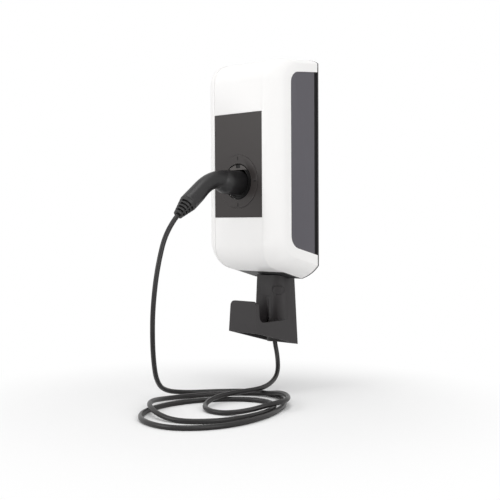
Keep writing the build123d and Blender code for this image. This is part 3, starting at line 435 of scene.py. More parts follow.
def carry(node: str, name: str, finish: Finish, width: float = 0.0003,
          body: str = BODY) -> bpy.types.Object:
    """Replace a CAD node by its own shape with rounded edges.

    Args:
        node: The CAD node.
        name: Name of the piece that stands for it.
        finish: Its finish.
        width: Width of the rounding, in metres.
        body: The body that it rides on.

    Returns:
        The piece.
    """
    piece = merged(node, name)
    soften(piece, width)
    dress(piece, finish)
    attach(piece, body)
    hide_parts(node)
    log.info("%s: %d faces", name, len(piece.data.polygons))
    return piece


def baked(piece: bpy.types.Object, name: str) -> bpy.types.Object:
    """Turn a piece with modifiers into a plain mesh.

    Args:
        piece: The piece, which is removed.
        name: Name of the plain piece.

    Returns:
        The plain piece.
    """
    bpy.context.view_layer.update()
    graph = bpy.context.evaluated_depsgraph_get()
    mesh = bpy.data.meshes.new_from_object(piece.evaluated_get(graph), depsgraph=graph)
    mesh.name = name
    bpy.data.objects.remove(piece, do_unlink=True)
    return link(name, mesh)


def ring_loft(rings: Sequence[Sequence[Vector]], name: str) -> bpy.types.Mesh:
    """Closed skin over rings of points, with flat ends.

    Args:
        rings: Rings of equal length, in order.
        name: Name of the mesh.

    Returns:
        The mesh, faces outwards.
    """
    work = bmesh.new()
    made = [[work.verts.new(point) for point in ring] for ring in rings]
    count = len(made[0])
    for lower, upper in zip(made, made[1:]):
        for i in range(count):
            work.faces.new((lower[i], lower[(i + 1) % count], upper[(i + 1) % count], upper[i]))
    work.faces.new(made[0])
    work.faces.new(made[-1])
    bmesh.ops.recalc_face_normals(work, faces=work.faces)
    mesh = bpy.data.meshes.new(name)
    work.to_mesh(mesh)
    work.free()
    return mesh


# Generated pieces


def grown(name: str, base: bpy.types.Mesh, settings: dict[str, Any],
          plan: Callable[[Tree, dict[str, Wire]], Wire]) -> bpy.types.Object:
    """Grow a piece with Geometry Nodes and keep it as a plain mesh.

    Args:
        name: Name of the piece.
        base: Mesh that the nodes start from.
        settings: Value of each named input; numbers and one material.
        plan: Adds the nodes, given the tree and a wire for each input, and returns the geometry.

    Returns:
        The piece.
    """
    group = bpy.data.node_groups.new(f"{name}_nodes", "GeometryNodeTree")
    kinds = {int: "NodeSocketInt", float: "NodeSocketFloat", Vector: "NodeSocketVector"}
    group.interface.new_socket("Geometry", in_out="INPUT", socket_type="NodeSocketGeometry")
    for label, value in settings.items():
        group.interface.new_socket(label, in_out="INPUT",
                                   socket_type=kinds.get(type(value), "NodeSocketMaterial"))
    group.interface.new_socket("Geometry", in_out="OUTPUT", socket_type="NodeSocketGeometry")
    tree = Tree(group)
    entry = tree.node("NodeGroupInput").socket.node
    wires = {socket.name: Wire(tree, socket) for socket in entry.outputs if socket.name}
    whole = tree.node("GeometryNodeRealizeInstances", None, {"Geometry": plan(tree, wires)})
    painted = tree.node("GeometryNodeSetMaterial", None,
                        {"Geometry": whole, "Material": wires["Material"]})
    tree.node("NodeGroupOutput", None, {"Geometry": painted})
    host = link(f"{name}_base", base)
    grower = host.modifiers.new("grow", "NODES")
    grower.node_group = group
    for item in group.interface.items_tree:
        if item.in_out == "INPUT" and item.name in settings:
            value = settings[item.name]
            grower[item.identifier] = tuple(value) if isinstance(value, Vector) else value
    return baked(host, name)


def dots(name: str, places: Iterable[Sequence[float]]) -> bpy.types.Mesh:
    """Mesh of loose points.

    Args:
        name: Its name.
        places: The points.

    Returns:
        The mesh.
    """
    mesh = bpy.data.meshes.new(name)
    mesh.from_pydata([tuple(place) for place in places], [], [])
    return mesh


@dataclass
class ScrewSet:
    """One group of equal cross-head screws, grown on their seats."""

    node: str
    name: str
    radius: float
    length: float
    turn: tuple[float, float, float]
    seats: tuple[tuple[float, float, float], ...]
    pitch: float = 0.0009

    @staticmethod
    def _plan(tree: Tree, wires: dict[str, Wire]) -> Wire:
        """Head with a cross, shank and thread on every seat.

        Args:
            tree: The geometry tree.
            wires: Its inputs.

        Returns:
            The screws.
        """
        radius, length, pitch = wires["Radius"], wires["Length"], wires["Pitch"]

        def column(sides: int, wide: Wire, tall: Wire, middle: Wire) -> Wire:
            """Upright cylinder."""
            form = tree.node("GeometryNodeMeshCylinder", None,
                             {"Vertices": sides, "Radius": wide, "Depth": tall}, "Mesh")
            place = tree.node("ShaderNodeCombineXYZ", None, {"Z": middle})
            return tree.node("GeometryNodeTransform", None,
                             {"Geometry": form, "Translation": place})

        def arm(wide: Wire, deep: Wire) -> Wire:
            """One arm of the cross that is cut into the head."""
            size = tree.node("ShaderNodeCombineXYZ", None,
                             {"X": wide, "Y": deep, "Z": radius * 1.8})
            form = tree.node("GeometryNodeMeshCube", None, {"Size": size}, "Mesh")
            place = tree.node("ShaderNodeCombineXYZ", None, {"Z": radius * 1.75})
            return tree.node("GeometryNodeTransform", None,
                             {"Geometry": form, "Translation": place})

        head = column(28, radius * 1.9, radius * 1.7, radius * 0.85)
        cut = head
        for size in ((radius * 2.6, radius * 0.44), (radius * 0.44, radius * 2.6)):
            cut = tree.node("GeometryNodeMeshBoolean", {"operation": "DIFFERENCE"},
                            {"Mesh 1": cut, "Mesh 2": arm(*size)})
        core = column(20, radius * 0.86, length, length * -0.5)
        helix = tree.node("GeometryNodeCurveSpiral", None, {
            "Resolution": 16, "Rotations": length * 0.9 * pitch ** -1.0, "Start Radius": radius * 0.88,
            "End Radius": radius * 0.88, "Height": length * 0.9})
        section = tree.node("GeometryNodeCurvePrimitiveCircle", None,
                            {"Resolution": 4, "Radius": radius * 0.12})
        thread = tree.node("GeometryNodeCurveToMesh", None,
                           {"Curve": helix, "Profile Curve": section, "Fill Caps": True})
        drop = tree.node("ShaderNodeCombineXYZ", None, {"Z": length * -0.95})
        wound = tree.node("GeometryNodeTransform", None, {"Geometry": thread, "Translation": drop})
        joined = tree.node("GeometryNodeJoinGeometry")
        for part in (cut, core, wound):
            tree.tree.links.new(part.socket, joined.socket.node.inputs[0])
        return tree.node("GeometryNodeInstanceOnPoints", None, {
            "Points": wires["Geometry"], "Instance": joined, "Rotation": wires["Turn"]})

    def build(self) -> bpy.types.Object:
        """Grow the screws in place of the CAD's.

        Returns:
            The piece.
        """
        turn = Vector(tuple(math.radians(value) for value in self.turn))
        base = dots(f"{self.name}_seats", (tuple(v / 1000.0 for v in seat) for seat in self.seats))
        piece = grown(self.name, base, {
            "Radius": self.radius / 1000.0, "Length": self.length / 1000.0,
            "Pitch": self.pitch, "Turn": turn, "Material": Paint.of(STEEL)}, self._plan)
        soften(piece, 0.0001)
        dress(piece, STEEL)
        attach(piece, BODY)
        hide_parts(self.node)
        return piece


@dataclass
class BendRelief:
    """Slotted rubber cone where the cable leaves the plug's grip."""

    place: tuple[float, float, float] = (0.0, -0.313, -0.077)
    lean: float = 130.0
    root: float = 0.0194
    tip: float = 0.010
    length: float = 0.038
    rows: int = 4
    first: float = 0.0092
    pitch: float = 0.0076
    slot: float = 0.0044
    depth: float = 0.0046
    rib: float = 0.0026
    bore: float = 0.00525

    @staticmethod
    def _plan(tree: Tree, wires: dict[str, Wire]) -> Wire:
        """Cone with rows of slots between four ribs, with a stem and a bore.

        Args:
            tree: The geometry tree.
            wires: Its inputs.

        Returns:
            The cone, in its place.
        """
        root, tip, length = wires["Root Radius"], wires["Tip Radius"], wires["Length"]

        def solid(kind: str, sockets: dict[str, Any], lift: Any) -> Wire:
            """Primitive, lifted along the axis."""
            form = tree.node(kind, None, sockets, "Mesh")
            place = tree.node("ShaderNodeCombineXYZ", None, {"Z": lift})
            return tree.node("GeometryNodeTransform", None,
                             {"Geometry": form, "Translation": place})

        def cone(low: Wire, high: Wire) -> Wire:
            """Upright cone from the root."""
            return solid("GeometryNodeMeshCone", {
                "Vertices": 64, "Radius Bottom": low, "Radius Top": high, "Depth": length}, 0.0)

        def without(form: Wire, *tools: Wire) -> Wire:
            """Form with others cut away."""
            cut = tree.node("GeometryNodeMeshBoolean", {"operation": "DIFFERENCE"},
                            {"Mesh 1": form})
            for tool in tools:
                tree.tree.links.new(tool.socket, cut.socket.node.inputs["Mesh 2"])
            return cut

        slab = solid("GeometryNodeMeshCylinder", {
            "Vertices": 64, "Radius": root * 1.4, "Depth": wires["Slot Width"]}, 0.0)
        start = tree.node("ShaderNodeCombineXYZ", None, {"Z": wires["First Slot"]})
        step = tree.node("ShaderNodeCombineXYZ", None, {"Z": wires["Pitch"]})
        line = tree.node("GeometryNodeMeshLine", None, {
            "Count": wires["Rows"], "Start Location": start, "Offset": step})
        slabs = tree.node("GeometryNodeInstanceOnPoints", None, {"Points": line, "Instance": slab})
        slabs = tree.node("GeometryNodeRealizeInstances", None, {"Geometry": slabs})
        ribs = []
        for wide, deep in ((root * 4.0, wires["Rib Width"]), (wires["Rib Width"], root * 4.0)):
            size = tree.node("ShaderNodeCombineXYZ", None, {"X": wide, "Y": deep, "Z": length * 2.0})
            ribs.append(solid("GeometryNodeMeshCube", {"Size": size}, length * 0.5))
        core = cone(root - wires["Slot Depth"], tip - wires["Slot Depth"])
        cutter = without(slabs, core, *ribs)
        stem = solid("GeometryNodeMeshCylinder", {
            "Vertices": 64, "Radius": root - 0.0042, "Depth": 0.009}, -0.0035)
        body = tree.node("GeometryNodeMeshBoolean", {"operation": "UNION"})
        for form in (without(cone(root, tip), cutter), stem):
            tree.tree.links.new(form.socket, body.socket.node.inputs["Mesh 2"])
        hole = solid("GeometryNodeMeshCylinder", {
            "Vertices": 48, "Radius": wires["Bore"], "Depth": length * 3.0}, length * 0.5)
        return tree.node("GeometryNodeTransform", None, {
            "Geometry": without(body, hole), "Rotation": wires["Turn"],
            "Translation": wires["Place"]})

    def build(self) -> bpy.types.Object:
        """Grow the bend relief.

        Returns:
            The piece.
        """
        piece = grown("plug_boot", dots("plug_boot_start", [(0.0, 0.0, 0.0)]), {
            "Root Radius": self.root, "Tip Radius": self.tip, "Length": self.length,
            "Rows": self.rows, "First Slot": self.first, "Pitch": self.pitch,
            "Slot Width": self.slot, "Slot Depth": self.depth, "Rib Width": self.rib,
            "Bore": self.bore, "Turn": Vector((math.radians(self.lean), 0.0, 0.0)),
            "Place": Vector(self.place), "Material": Paint.of(BOOT)}, self._plan)
        soften(piece, 0.0005)
        dress(piece, BOOT)
        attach(piece, BODY)
        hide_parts("plug_strain_relief")
        return piece


@dataclass
class BoardParts:
    """Small parts scattered on the free places of the main board."""

    name: str
    finish: Finish
    seed: int
    shift: int
    size: tuple[float, float, float]
    round_parts: bool
    cell: float = 0.012
    gap: float = 0.0075
    density: float = 9000.0
    smallest: float = 0.62
    crowd: tuple[str, ...] = (
        "power_relay", "current_sensor", "fuse_holder", "network_socket",
        "supply_terminal_block", "earth_terminal", "output_terminal_block", "service_switch",
        "service_button", "output_leads")

    def _free(self) -> bpy.types.Mesh:
        """Squares of the board that nothing else stands on.

        Returns:
            A mesh of the squares, facing the front.
        """
        low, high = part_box("main_board")
        taken = [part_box(node) for node in self.crowd]
        verts: list[tuple[float, float, float]] = []
        faces: list[tuple[int, ...]] = []
        columns = int((high[0] - low[0]) / self.cell)
        rows = int((high[2] - low[2]) / self.cell)
        for i in range(1, columns - 1):
            for j in range(1, rows - 1):
                x, z = low[0] + i * self.cell, low[2] + j * self.cell
                clear = all(x + self.cell < a[0] - 0.002 or x > b[0] + 0.002
                            or z + self.cell < a[2] - 0.002 or z > b[2] + 0.002
                            for a, b in taken)
                if clear and (i + j) % 2 == self.shift:
                    start = len(verts)
                    verts += [(x, low[1], z), (x + self.cell, low[1], z),
                              (x + self.cell, low[1], z + self.cell), (x, low[1], z + self.cell)]
                    faces.append(tuple(range(start, start + 4)))
        mesh = bpy.data.meshes.new(f"{self.name}_squares")
        mesh.from_pydata(verts, [], faces)
        return mesh

    def _plan(self, tree: Tree, wires: dict[str, Wire]) -> Wire:
        """One part on each scattered point.

        Args:
            tree: The geometry tree.
            wires: Its inputs.

        Returns:
            The parts.
        """
        spots = tree.node("GeometryNodeDistributePointsOnFaces", {"distribute_method": "POISSON"}, {
            "Mesh": wires["Geometry"], "Distance Min": wires["Gap"], "Density Max": self.density,
            "Seed": wires["Seed"]}, "Points")
        tall = self.size[2]
        if self.round_parts:
            form = tree.node("GeometryNodeMeshCylinder", None, {
                "Vertices": 20, "Radius": self.size[0] / 2, "Depth": tall}, "Mesh")
        else:
            form = tree.node("GeometryNodeMeshCube", None, {"Size": self.size}, "Mesh")
        raised = tree.node("GeometryNodeTransform", None, {
            "Geometry": form, "Translation": (0.0, 0.0, tall / 2)})
        pick = tree.node("FunctionNodeRandomValue", {"data_type": "FLOAT"},
                         {"Min": self.smallest, "Max": 1.0, "Seed": wires["Seed"]}, "Value")
        turned = tree.node("FunctionNodeRandomValue", {"data_type": "INT"},
                           {"Min": 0, "Max": 1, "Seed": wires["Seed"]}, "Value")
        turn = tree.node("ShaderNodeCombineXYZ", None, {
            "X": math.pi / 2, "Y": turned * (math.pi / 2)})
        scale = tree.node("ShaderNodeCombineXYZ", None, {"X": pick, "Y": pick, "Z": 1.0})
        return tree.node("GeometryNodeInstanceOnPoints", None, {
            "Points": spots, "Instance": raised, "Rotation": turn, "Scale": scale})

    def build(self) -> bpy.types.Object:
        """Grow the parts.

        Returns:
            The piece.
        """
        piece = grown(self.name, self._free(), {
            "Gap": self.gap, "Seed": self.seed, "Material": Paint.of(self.finish)}, self._plan)
        soften(piece, 0.0001)
        dress(piece, self.finish)
        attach(piece, BODY)
        return piece


# Sub-assemblies


@dataclass
class Covers:
    """White covers, face panel, side panels and what closes the box behind them."""

    edge: float = 0.0009
    panel_edge: float = 0.0005

    def build(self) -> list[bpy.types.Object]:
        """Carry the covers over, with rounded edges.

        Returns:
            The pieces.
        """
        return [
            carry("cover_shell", "front_cover", WHITE_COVER, self.edge),
            carry("centre_cover", "centre_strip", WHITE_COVER, 0.0005),
            carry("face_panel", "face_sheet", FACE_SHEET, self.panel_edge),
            carry("side_panel_left", "side_sheet_left", SIDE_SHEET, self.panel_edge),
            carry("side_panel_right", "side_sheet_right", SIDE_SHEET, self.panel_edge),
            carry("rear_housing", "housing_back", HOUSING, 0.0005),
            carry("base_cover", "housing_base", HOUSING, 0.0005),
            carry("cover_gasket", "housing_seal", SEAL, 0.0003),
            carry("supply_grommet", "supply_seal", SEAL, 0.0005),
        ]


@dataclass
class PlugHolder:
    """Disc, cup and key plate that the plug is parked in."""

    axis_z: float = -0.0281
    tick_reach: float = 0.0510
    tick_size: tuple[float, float, float] = (0.0078, 0.0022, 0.0003)
    tick_floor_y: float = -0.1617

    @staticmethod
    def _plan(tree: Tree, wires: dict[str, Wire]) -> Wire:
        """Four bars round a centre, each along its radius.

        Args:
            tree: The geometry tree.
            wires: Its inputs.

        Returns:
            The bars, in their place.
        """
        ring = tree.node("GeometryNodeMeshCircle", None, {"Vertices": 4, "Radius": wires["Reach"]})
        bar = tree.node("GeometryNodeMeshCube", None, {"Size": wires["Size"]}, "Mesh")
        outward = tree.node("FunctionNodeAlignRotationToVector", {"axis": "X"}, {
            "Vector": tree.node("GeometryNodeInputPosition")})
        bars = tree.node("GeometryNodeInstanceOnPoints", None, {
            "Points": ring, "Instance": bar, "Rotation": outward})
        return tree.node("GeometryNodeTransform", None, {
            "Geometry": bars, "Rotation": wires["Turn"], "Translation": wires["Place"]})

    def _ticks(self) -> bpy.types.Object:
        """Near-black floors of the four marks: painted shade in their slots.

        Returns:
            The piece.
        """
        piece = grown("holder_ticks", dots("holder_ticks_start", [(0.0, 0.0, 0.0)]), {
            "Reach": self.tick_reach, "Size": Vector(self.tick_size),
            "Turn": Vector(tuple(math.radians(value) for value in FORWARD)),
            "Place": Vector((0.0, self.tick_floor_y, self.axis_z)),
            "Material": Paint.of(PAINTED_SHADE_BLACK)}, self._plan)
        dress(piece, PAINTED_SHADE_BLACK)
        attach(piece, BODY)
        return piece

    def build(self) -> list[bpy.types.Object]:
        """Carry the holder over and lay the painted shade into its marks.

        Returns:
            The pieces.
        """
        return [
            self._ticks(),
            carry("holder_disc", "holder_ring", FACE_SHEET, 0.0),
            # The cup takes the near-black copy: painted shade in the gap round the parked plug.
            carry("holder_cup", "holder_socket", PAINTED_SHADE_BLACK, 0.0003),
            carry("holder_crescent", "holder_key_plate", CRESCENT, 0.0003),
        ]


@dataclass
class Hanger:
    """Cable hanger under the box, with its cap and wall plate."""

    edge: float = 0.0005

    def build(self) -> list[bpy.types.Object]:
        """Carry the hanger over.

        Returns:
            The pieces.
        """
        return [
            carry("cable_hanger", "hanger_body", HANGER, self.edge),
            carry("hanger_cap", "hanger_oval_cap", HANGER, 0.0003),
            carry("hanger_wall_plate", "hanger_back_plate", HANGER, 0.0006),
        ]


@dataclass
class Plug:
    """Charging plug with its bent grip and slotted bend relief."""

    axis_z: float = -0.03015
    radius: float = 0.0265
    face_y: float = -0.156
    body_y: float = -0.195
    end_length: float = 0.036
    voxel: float = 0.0011
    sides: int = 64
    steps: int = 6
    dome_rings: int = 17
    grip: tuple[tuple[float, float, float, float], ...] = (
        (-0.160, -0.0285, 0.0224, 1.0), (-0.187, -0.026, 0.0222, 4.0),
        (-0.217, -0.0255, 0.0204, 10.0), (-0.242, -0.0287, 0.0184, 20.0),
        (-0.265, -0.0394, 0.0182, 31.0), (-0.290, -0.0592, 0.0192, 38.0),
        (-0.313, -0.077, 0.0194, 40.0))

    def _circle(self, y: float, z: float, radius: float, tilt: float) -> list[Vector]:
        """Ring of points across the grip.

        Args:
            y: Depth of its centre.
            z: Height of its centre.
            radius: Its radius.
            tilt: Tilt of its axis below level, in degrees.

        Returns:
            The points.
        """
        lean = math.radians(tilt)
        rise = Vector((0.0, -math.sin(lean), math.cos(lean)))
        across = Vector((1.0, 0.0, 0.0))
        centre = Vector((0.0, y, z))
        return [centre + across * (radius * math.cos(turn)) + rise * (radius * math.sin(turn))
                for turn in (math.tau * i / self.sides for i in range(self.sides))]

    def _spine(self) -> list[tuple[float, float, float, float]]:
        """Centre line of the grip with points between the given ones.

        Returns:
            Depth, height, radius and tilt along the grip.
        """
        line = []
        count = len(self.grip)
        for i in range(count - 1):
            before = self.grip[max(0, i - 1)]
            here, after = self.grip[i], self.grip[i + 1]
            last = self.grip[min(count - 1, i + 2)]
            for step in range(self.steps):
                t = step / self.steps
                line.append(tuple(
                    0.5 * (2 * b + (c - a) * t + (2 * a - 5 * b + 4 * c - d) * t * t
                           + (3 * b - a - 3 * c + d) * t ** 3)
                    for a, b, c, d in zip(before, here, after, last)))
        line.append(self.grip[-1])
        return line

    def _shell(self) -> bpy.types.Object:
        """Round body and grip, blended into one skin.

        Returns:
            The shell.
        """
        body_rings = [self._circle(y, self.axis_z, self.radius, 0.0)
                      for y in (self.face_y, self.body_y)]
        for step in range(1, self.dome_rings):
            turn = math.pi / 2 * step / self.dome_rings
            body_rings.append(self._circle(self.body_y - self.end_length * math.sin(turn),
                                           self.axis_z, self.radius * math.cos(turn), 0.0))
        grip_rings = [self._circle(*point) for point in self._spine()]
        work = bmesh.new()
        work.from_mesh(ring_loft(body_rings, "plug_body"))
        work.from_mesh(ring_loft(grip_rings, "plug_grip"))
        mesh = bpy.data.meshes.new("plug_forms")
        work.to_mesh(mesh)
        work.free()
        forms = link("plug_forms", mesh)
        remesh = forms.modifiers.new("skin", "REMESH")
        remesh.mode = "VOXEL"
        remesh.voxel_size = self.voxel
        blend = forms.modifiers.new("blend", "SMOOTH")
        blend.factor = 0.5
        blend.iterations = 14
        shell = baked(forms, "plug_handle")
        shell.data.shade_smooth()
        return shell

    def build(self) -> list[bpy.types.Object]:
        """Build the plug.

        Returns:
            The pieces, each attached to the charger body.
        """
        shell = dress(self._shell(), CHARCOAL)
        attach(shell, BODY)
        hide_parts("plug_shell")
        return [
            shell,
            carry("plug_nose", "plug_front", BLACK, 0.0006),
            carry("plug_insert", "plug_core", BLACK, 0.0003),
            carry("plug_contacts", "plug_sleeves", SILVER, 0.0002),
            BendRelief().build(),
        ]


@dataclass
class ChargingCable:
    """Cable from the gland, through the hanger and loose on the floor, up to the plug."""

    diameter: float = 0.0104
    length: float = 3.50
    route: tuple[tuple[float, float, float], ...] = field(default=(
        (10.5, -43, -226), (10.5, -43, -310), (4, -50, -380), (13, -46, -426),
        (30, -64, -461), (46, -104, -477), (57, -152, -482), (50, -202, -482),
        (41, -250, -483), (43, -295, -487), (62, -332, -493), (98, -352, -494.8),
        (139, -346, -494.8), (171, -312, -490), (188, -268, -482), (192, -224, -480.5),
        (165, -184, -481), (122, -158, -482), (76, -143, -491), (34, -152, -494.8),
        (-11, -195, -494.8), (-48, -262, -494.8), (-52, -335, -491), (-25, -398, -483),
        (14, -438, -482), (62, -458, -489), (110, -458, -494.8), (155, -434, -494.8),
        (189, -381, -494.8), (194, -300, -494.8), (176, -240, -494.8), (136, -203, -494.8),
        (78, -205, -494.8), (18, -256, -494.8), (-14, -329, -494.8), (-12, -402, -494.8),
        (14, -462, -494.8), (74, -506, -494.8), (156, -508, -494.8), (211, -447, -494.8),
        (224, -364, -494.8), (207, -274, -494.8), (161, -187, -494.8), (93, -133, -494.8),
        (14, -131, -494.8), (-44, -190, -494.8), (-78, -255, -493), (-78, -316, -480),
        (-56, -356, -450), (-31, -385, -404), (-11, -405, -352), (-2, -411, -288),
        (0, -400, -208), (0, -372.598, -127.009), (0, -292.011, -59.388), (0, -246, -33),
        (0, -205, -28.5), (0, -172, -28.5)))

    def build(self, plug_pieces: Iterable[bpy.types.Object]) -> bpy.types.Object:
        """Lay the cable.

        Args:
            plug_pieces: The pieces at its far end; not used.

        Returns:
            The cable.
        """
        curve = bpy.data.curves.new("cable_line", "CURVE")
        curve.dimensions = "3D"
        curve.bevel_depth = self.diameter / 2
        curve.bevel_resolution = 6
        curve.resolution_u = 12
        spline = curve.splines.new("NURBS")
        spline.points.add(len(self.route) - 1)
        for point, (x, y, z) in zip(spline.points, self.route):
            point.co = (x / 1000.0, y / 1000.0, z / 1000.0, 1.0)
        spline.order_u = 3
        spline.use_endpoint_u = True
        curve.materials.append(Paint.of(CABLE))
        cable = bpy.data.objects.new("cable_jacket", curve)
        bpy.context.scene.collection.objects.link(cable)
        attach(cable, BODY)
        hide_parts("charging_cable")
        log.info("cable of %.2f m", self.length)
        return cable


@dataclass
class Inside:
    """Board, terminals and small parts behind the covers."""

    blocks: tuple[tuple[str, str, Finish, float], ...] = (
        ("carrier_plate", "carrier_sheet", CARRIER, 0.0002),
        ("board_spacers", "spacer_posts", BRASS, 0.0003),
        ("main_board", "main_circuit_board", BOARD, 0.0001),
        ("power_relay", "relay_case", BLACK, 0.0008),
        ("current_sensor", "current_ring", BLUE, 0.0008),
        ("fuse_holder", "fuse_clip", IVORY, 0.0004),
        ("network_socket", "network_port", SILVER, 0.0003),
        ("supply_terminal_block", "supply_terminals", TERMINAL, 0.0006),
        ("earth_terminal", "earth_bar", BRASS, 0.0004),
        ("output_terminal_block", "output_terminals", TERMINAL, 0.0006),
        ("output_leads", "lead_wires", BLUE, 0.0),
        ("service_switch", "switch_case", BLACK, 0.0004),
        ("reader_board", "reader_circuit_board", BOARD, 0.0001),
        ("light_guide", "light_bar", LIGHT, 0.0004),
        ("gland_body", "gland_case", BLACK, 0.0006),
        ("gland_seal", "gland_ring", SEAL, 0.0002),
        ("gland_nut", "gland_lock_nut", BLACK, 0.0005),
    )

    def build(self) -> list[bpy.types.Object]:
        """Carry the inside over.

        Returns:
            The pieces.
        """
        pieces = [carry(node, name, finish, width) for node, name, finish, width in self.blocks]
        pieces.append(carry("service_button", "button_cap", IVORY, 0.0002, BUTTON))
        pieces.append(BoardParts("board_chips", BLACK, 7, 0, (0.006, 0.006, 0.0016), False).build())
        pieces.append(BoardParts("board_cans", SILVER, 11, 1, (0.0055, 0.0055, 0.006), True).build())
        return pieces


@dataclass
class Fasteners:
    """Screws of every group, in millimetres from the wall screws' centre."""

    cup: float = 30.6
    holder_z: float = -28.1
    groups: tuple[ScrewSet, ...] = ()

    def __post_init__(self) -> None:
        """Set out the groups."""
        def spread(y: float, points: Sequence[tuple[float, float]]) -> tuple[Any, ...]:
            """Seats at one depth."""
            return tuple((x, y, z) for x, z in points)

        low, high = self.holder_z - self.cup, self.holder_z + self.cup
        cup = ((-self.cup, low), (self.cup, low), (-self.cup, high), (self.cup, high))
        self.groups = (
            ScrewSet("holder_screws", "holder_fixings", 1.3, 3.4, BACKWARD, spread(-155.2, cup)),
            ScrewSet("strip_screws", "strip_fixings", 1.5, 5.1, BACKWARD, spread(-154.6, (
                (-68, 140), (68, 140), (-68, 178), (68, 178), (-68, -125), (68, -125)))),
            ScrewSet("cover_screws", "cover_fixings", 1.5, 11.5, BACKWARD, spread(-27.0, (
                (-60, 233.5), (60, 233.5), (-88, -231), (88, -231)))),
            ScrewSet("carrier_screws", "carrier_fixings", 1.5, 5.0, FORWARD, spread(-32.0, (
                (-97, -170), (97, -170), (-97, 20), (97, 20), (-97, 190), (97, 190)))),
            ScrewSet("board_screws", "board_fixings", 1.3, 10.0, FORWARD, spread(-45.6, (
                (-76, -160), (76, -160), (-76, -25), (76, -25), (-76, 110), (76, 110)))),
            ScrewSet("reader_screws", "reader_fixings", 1.0, 7.0, BACKWARD, spread(-147.6, (
                (-25, 85), (25, 85), (-25, 108), (25, 108)))),
        )

    def build(self) -> list[bpy.types.Object]:
        """Grow the screws.

        Returns:
            One piece for each group.
        """
        pieces = [group.build() for group in self.groups]
        pieces.append(carry("hanger_screws", "hanger_fixings", STEEL, 0.0002))
        return pieces


def shown(tree: Tree) -> Wire:
    """Mask of the rays that show the background.

    Args:
        tree: The tree of the floor or the world.

    Returns:
        1 on camera, glossy and transmission rays, and 0 on the rest.
    """
    camera, glossy, through = (tree.node("ShaderNodeLightPath", out=f"Is {kind} Ray")
                               for kind in ("Camera", "Glossy", "Transmission"))
    return 1.0 - (1.0 - camera) * (1.0 - glossy) * (1.0 - through)


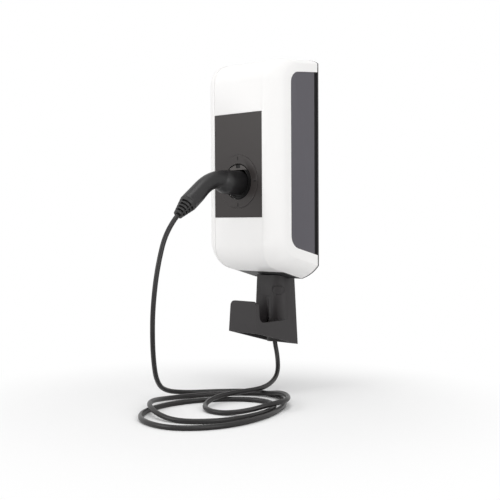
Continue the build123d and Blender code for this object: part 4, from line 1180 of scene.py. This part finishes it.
@dataclass
class Studio:
    """Floor, lights, world and camera."""

    floor_z: float = -0.5
    floor_half: float = 14.0
    shadow_place: tuple[float, float, float] = (0.07, -0.30, -0.5)
    shadow_start: float = 0.26
    shadow_end: float = 0.72
    eye: tuple[float, float, float] = (1.418, -1.648, -0.1115)
    yaw: float = 42.93
    pitch: float = 1.89
    roll: float = -0.30
    lens: float = 66.85

    def build(self) -> None:
        """Set the stage and the camera."""
        self._camera()
        self._floor()
        self._world()
        self._lamp("key", (-1.6, -3.4, 1.3), (0.0, -0.1, 0.0), 2.2, 41.0)
        self._lamp("side", (3.2, -1.0, 0.9), (0.0, -0.1, 0.0), 2.0, 30.0)
        self._lamp("top", (0.3, -0.8, 2.8), (0.0, -0.2, 0.0), 1.6, 22.0)

    def _camera(self) -> None:
        """Camera at the photograph's viewing angle."""
        yaw, pitch, roll = (math.radians(v) for v in (self.yaw, self.pitch, self.roll))
        ahead = Vector((-math.sin(yaw) * math.cos(pitch), math.cos(yaw) * math.cos(pitch),
                        -math.sin(pitch)))
        level = Vector((math.cos(yaw), math.sin(yaw), 0.0))
        above = level.cross(ahead)
        right = level * math.cos(roll) + above * math.sin(roll)
        up = above * math.cos(roll) - level * math.sin(roll)
        data = bpy.data.cameras.new("camera")
        data.sensor_width = 36.0
        data.lens = self.lens
        data.clip_start = 0.05
        data.clip_end = 60.0
        camera = bpy.data.objects.new("camera", data)
        bpy.context.scene.collection.objects.link(camera)
        turned = Matrix((right, up, -ahead)).transposed().to_4x4()
        camera.matrix_world = Matrix.Translation(Vector(self.eye)) @ turned
        bpy.context.scene.camera = camera

    def _floor(self) -> None:
        """Pale floor that keeps the object's soft shadow."""
        mesh = bpy.data.meshes.new("floor")
        size = self.floor_half
        mesh.from_pydata([(-size, -size, self.floor_z), (size, -size, self.floor_z),
                          (size, size, self.floor_z), (-size, size, self.floor_z)],
                         [], [(0, 1, 2, 3)])
        floor = link("floor", mesh)
        material = bpy.data.materials.new("floor_white")
        material.use_nodes = True
        tree = Tree(material.node_tree)
        matt = tree.node("ShaderNodeBsdfDiffuse", None, {"Color": (0.9, 0.9, 0.9, 1.0)})
        glow = tree.node("ShaderNodeEmission", None, {"Color": (1, 1, 1, 1), "Strength": 1.0})
        place = tree.node("ShaderNodeTexCoord", out="Object")
        away = tree.node("ShaderNodeVectorMath", {"operation": "DISTANCE"},
                         {0: place, 1: self.shadow_place}, "Value")
        fade = tree.node("ShaderNodeMapRange", {"interpolation_type": "SMOOTHSTEP"}, {
            "Value": away, "From Min": self.shadow_start, "From Max": self.shadow_end})
        lit = tree.node("ShaderNodeMixShader", None, {0: fade, 1: matt, 2: glow})
        mixed = tree.node("ShaderNodeMixShader", None, {0: shown(tree), 1: matt, 2: lit})
        tree.node("ShaderNodeOutputMaterial", None, {"Surface": mixed})
        mesh.materials.append(material)

    def _world(self) -> None:
        """Even light all round, and white where the camera or a reflection looks past the object."""
        world = bpy.data.worlds.new("studio")
        bpy.context.scene.world = world
        world.use_nodes = True
        tree = Tree(world.node_tree)
        way = tree.node("ShaderNodeTexCoord", out="Generated")
        height = tree.node("ShaderNodeSeparateXYZ", None, {0: way}, "Z")
        rise = tree.node("ShaderNodeMapRange", {"interpolation_type": "SMOOTHSTEP"}, {
            "Value": height, "From Min": -0.12, "From Max": 0.3, "To Min": 0.34, "To Max": 0.66})
        soft = tree.node("ShaderNodeBackground", None, {"Color": (1, 1, 1, 1), "Strength": rise})
        white = tree.node("ShaderNodeBackground", None, {"Color": (1, 1, 1, 1), "Strength": 1.0})
        mixed = tree.node("ShaderNodeMixShader", None, {0: shown(tree), 1: soft, 2: white})
        tree.node("ShaderNodeOutputWorld", None, {"Surface": mixed})

    def _lamp(self, name: str, place: tuple[float, float, float],
              target: tuple[float, float, float], size: float, power: float) -> None:
        """Large soft lamp.

        Args:
            name: Its name.
            place: Where it stands.
            target: Where it points.
            size: Side of its square, in metres.
            power: Its power in watts.
        """
        data = bpy.data.lights.new(name, "AREA")
        data.size = size
        data.energy = power
        lamp = bpy.data.objects.new(name, data)
        lamp.location = place
        lamp.rotation_euler = (Vector(target) - Vector(place)).to_track_quat("-Z", "Y").to_euler()
        bpy.context.scene.collection.objects.link(lamp)


def main() -> None:
    """Build the studio and every sub-assembly, in order."""
    bpy.context.scene.view_settings.view_transform = "Standard"
    Studio().build()
    plug_pieces = Plug().build()
    ChargingCable().build(plug_pieces)
    for assembly in (Covers(), PlugHolder(), Hanger(), Inside(), Fasteners()):
        pieces = assembly.build()
        log.info("%s: %d pieces", type(assembly).__name__, len(pieces))


if __name__ == "__main__":
    main()
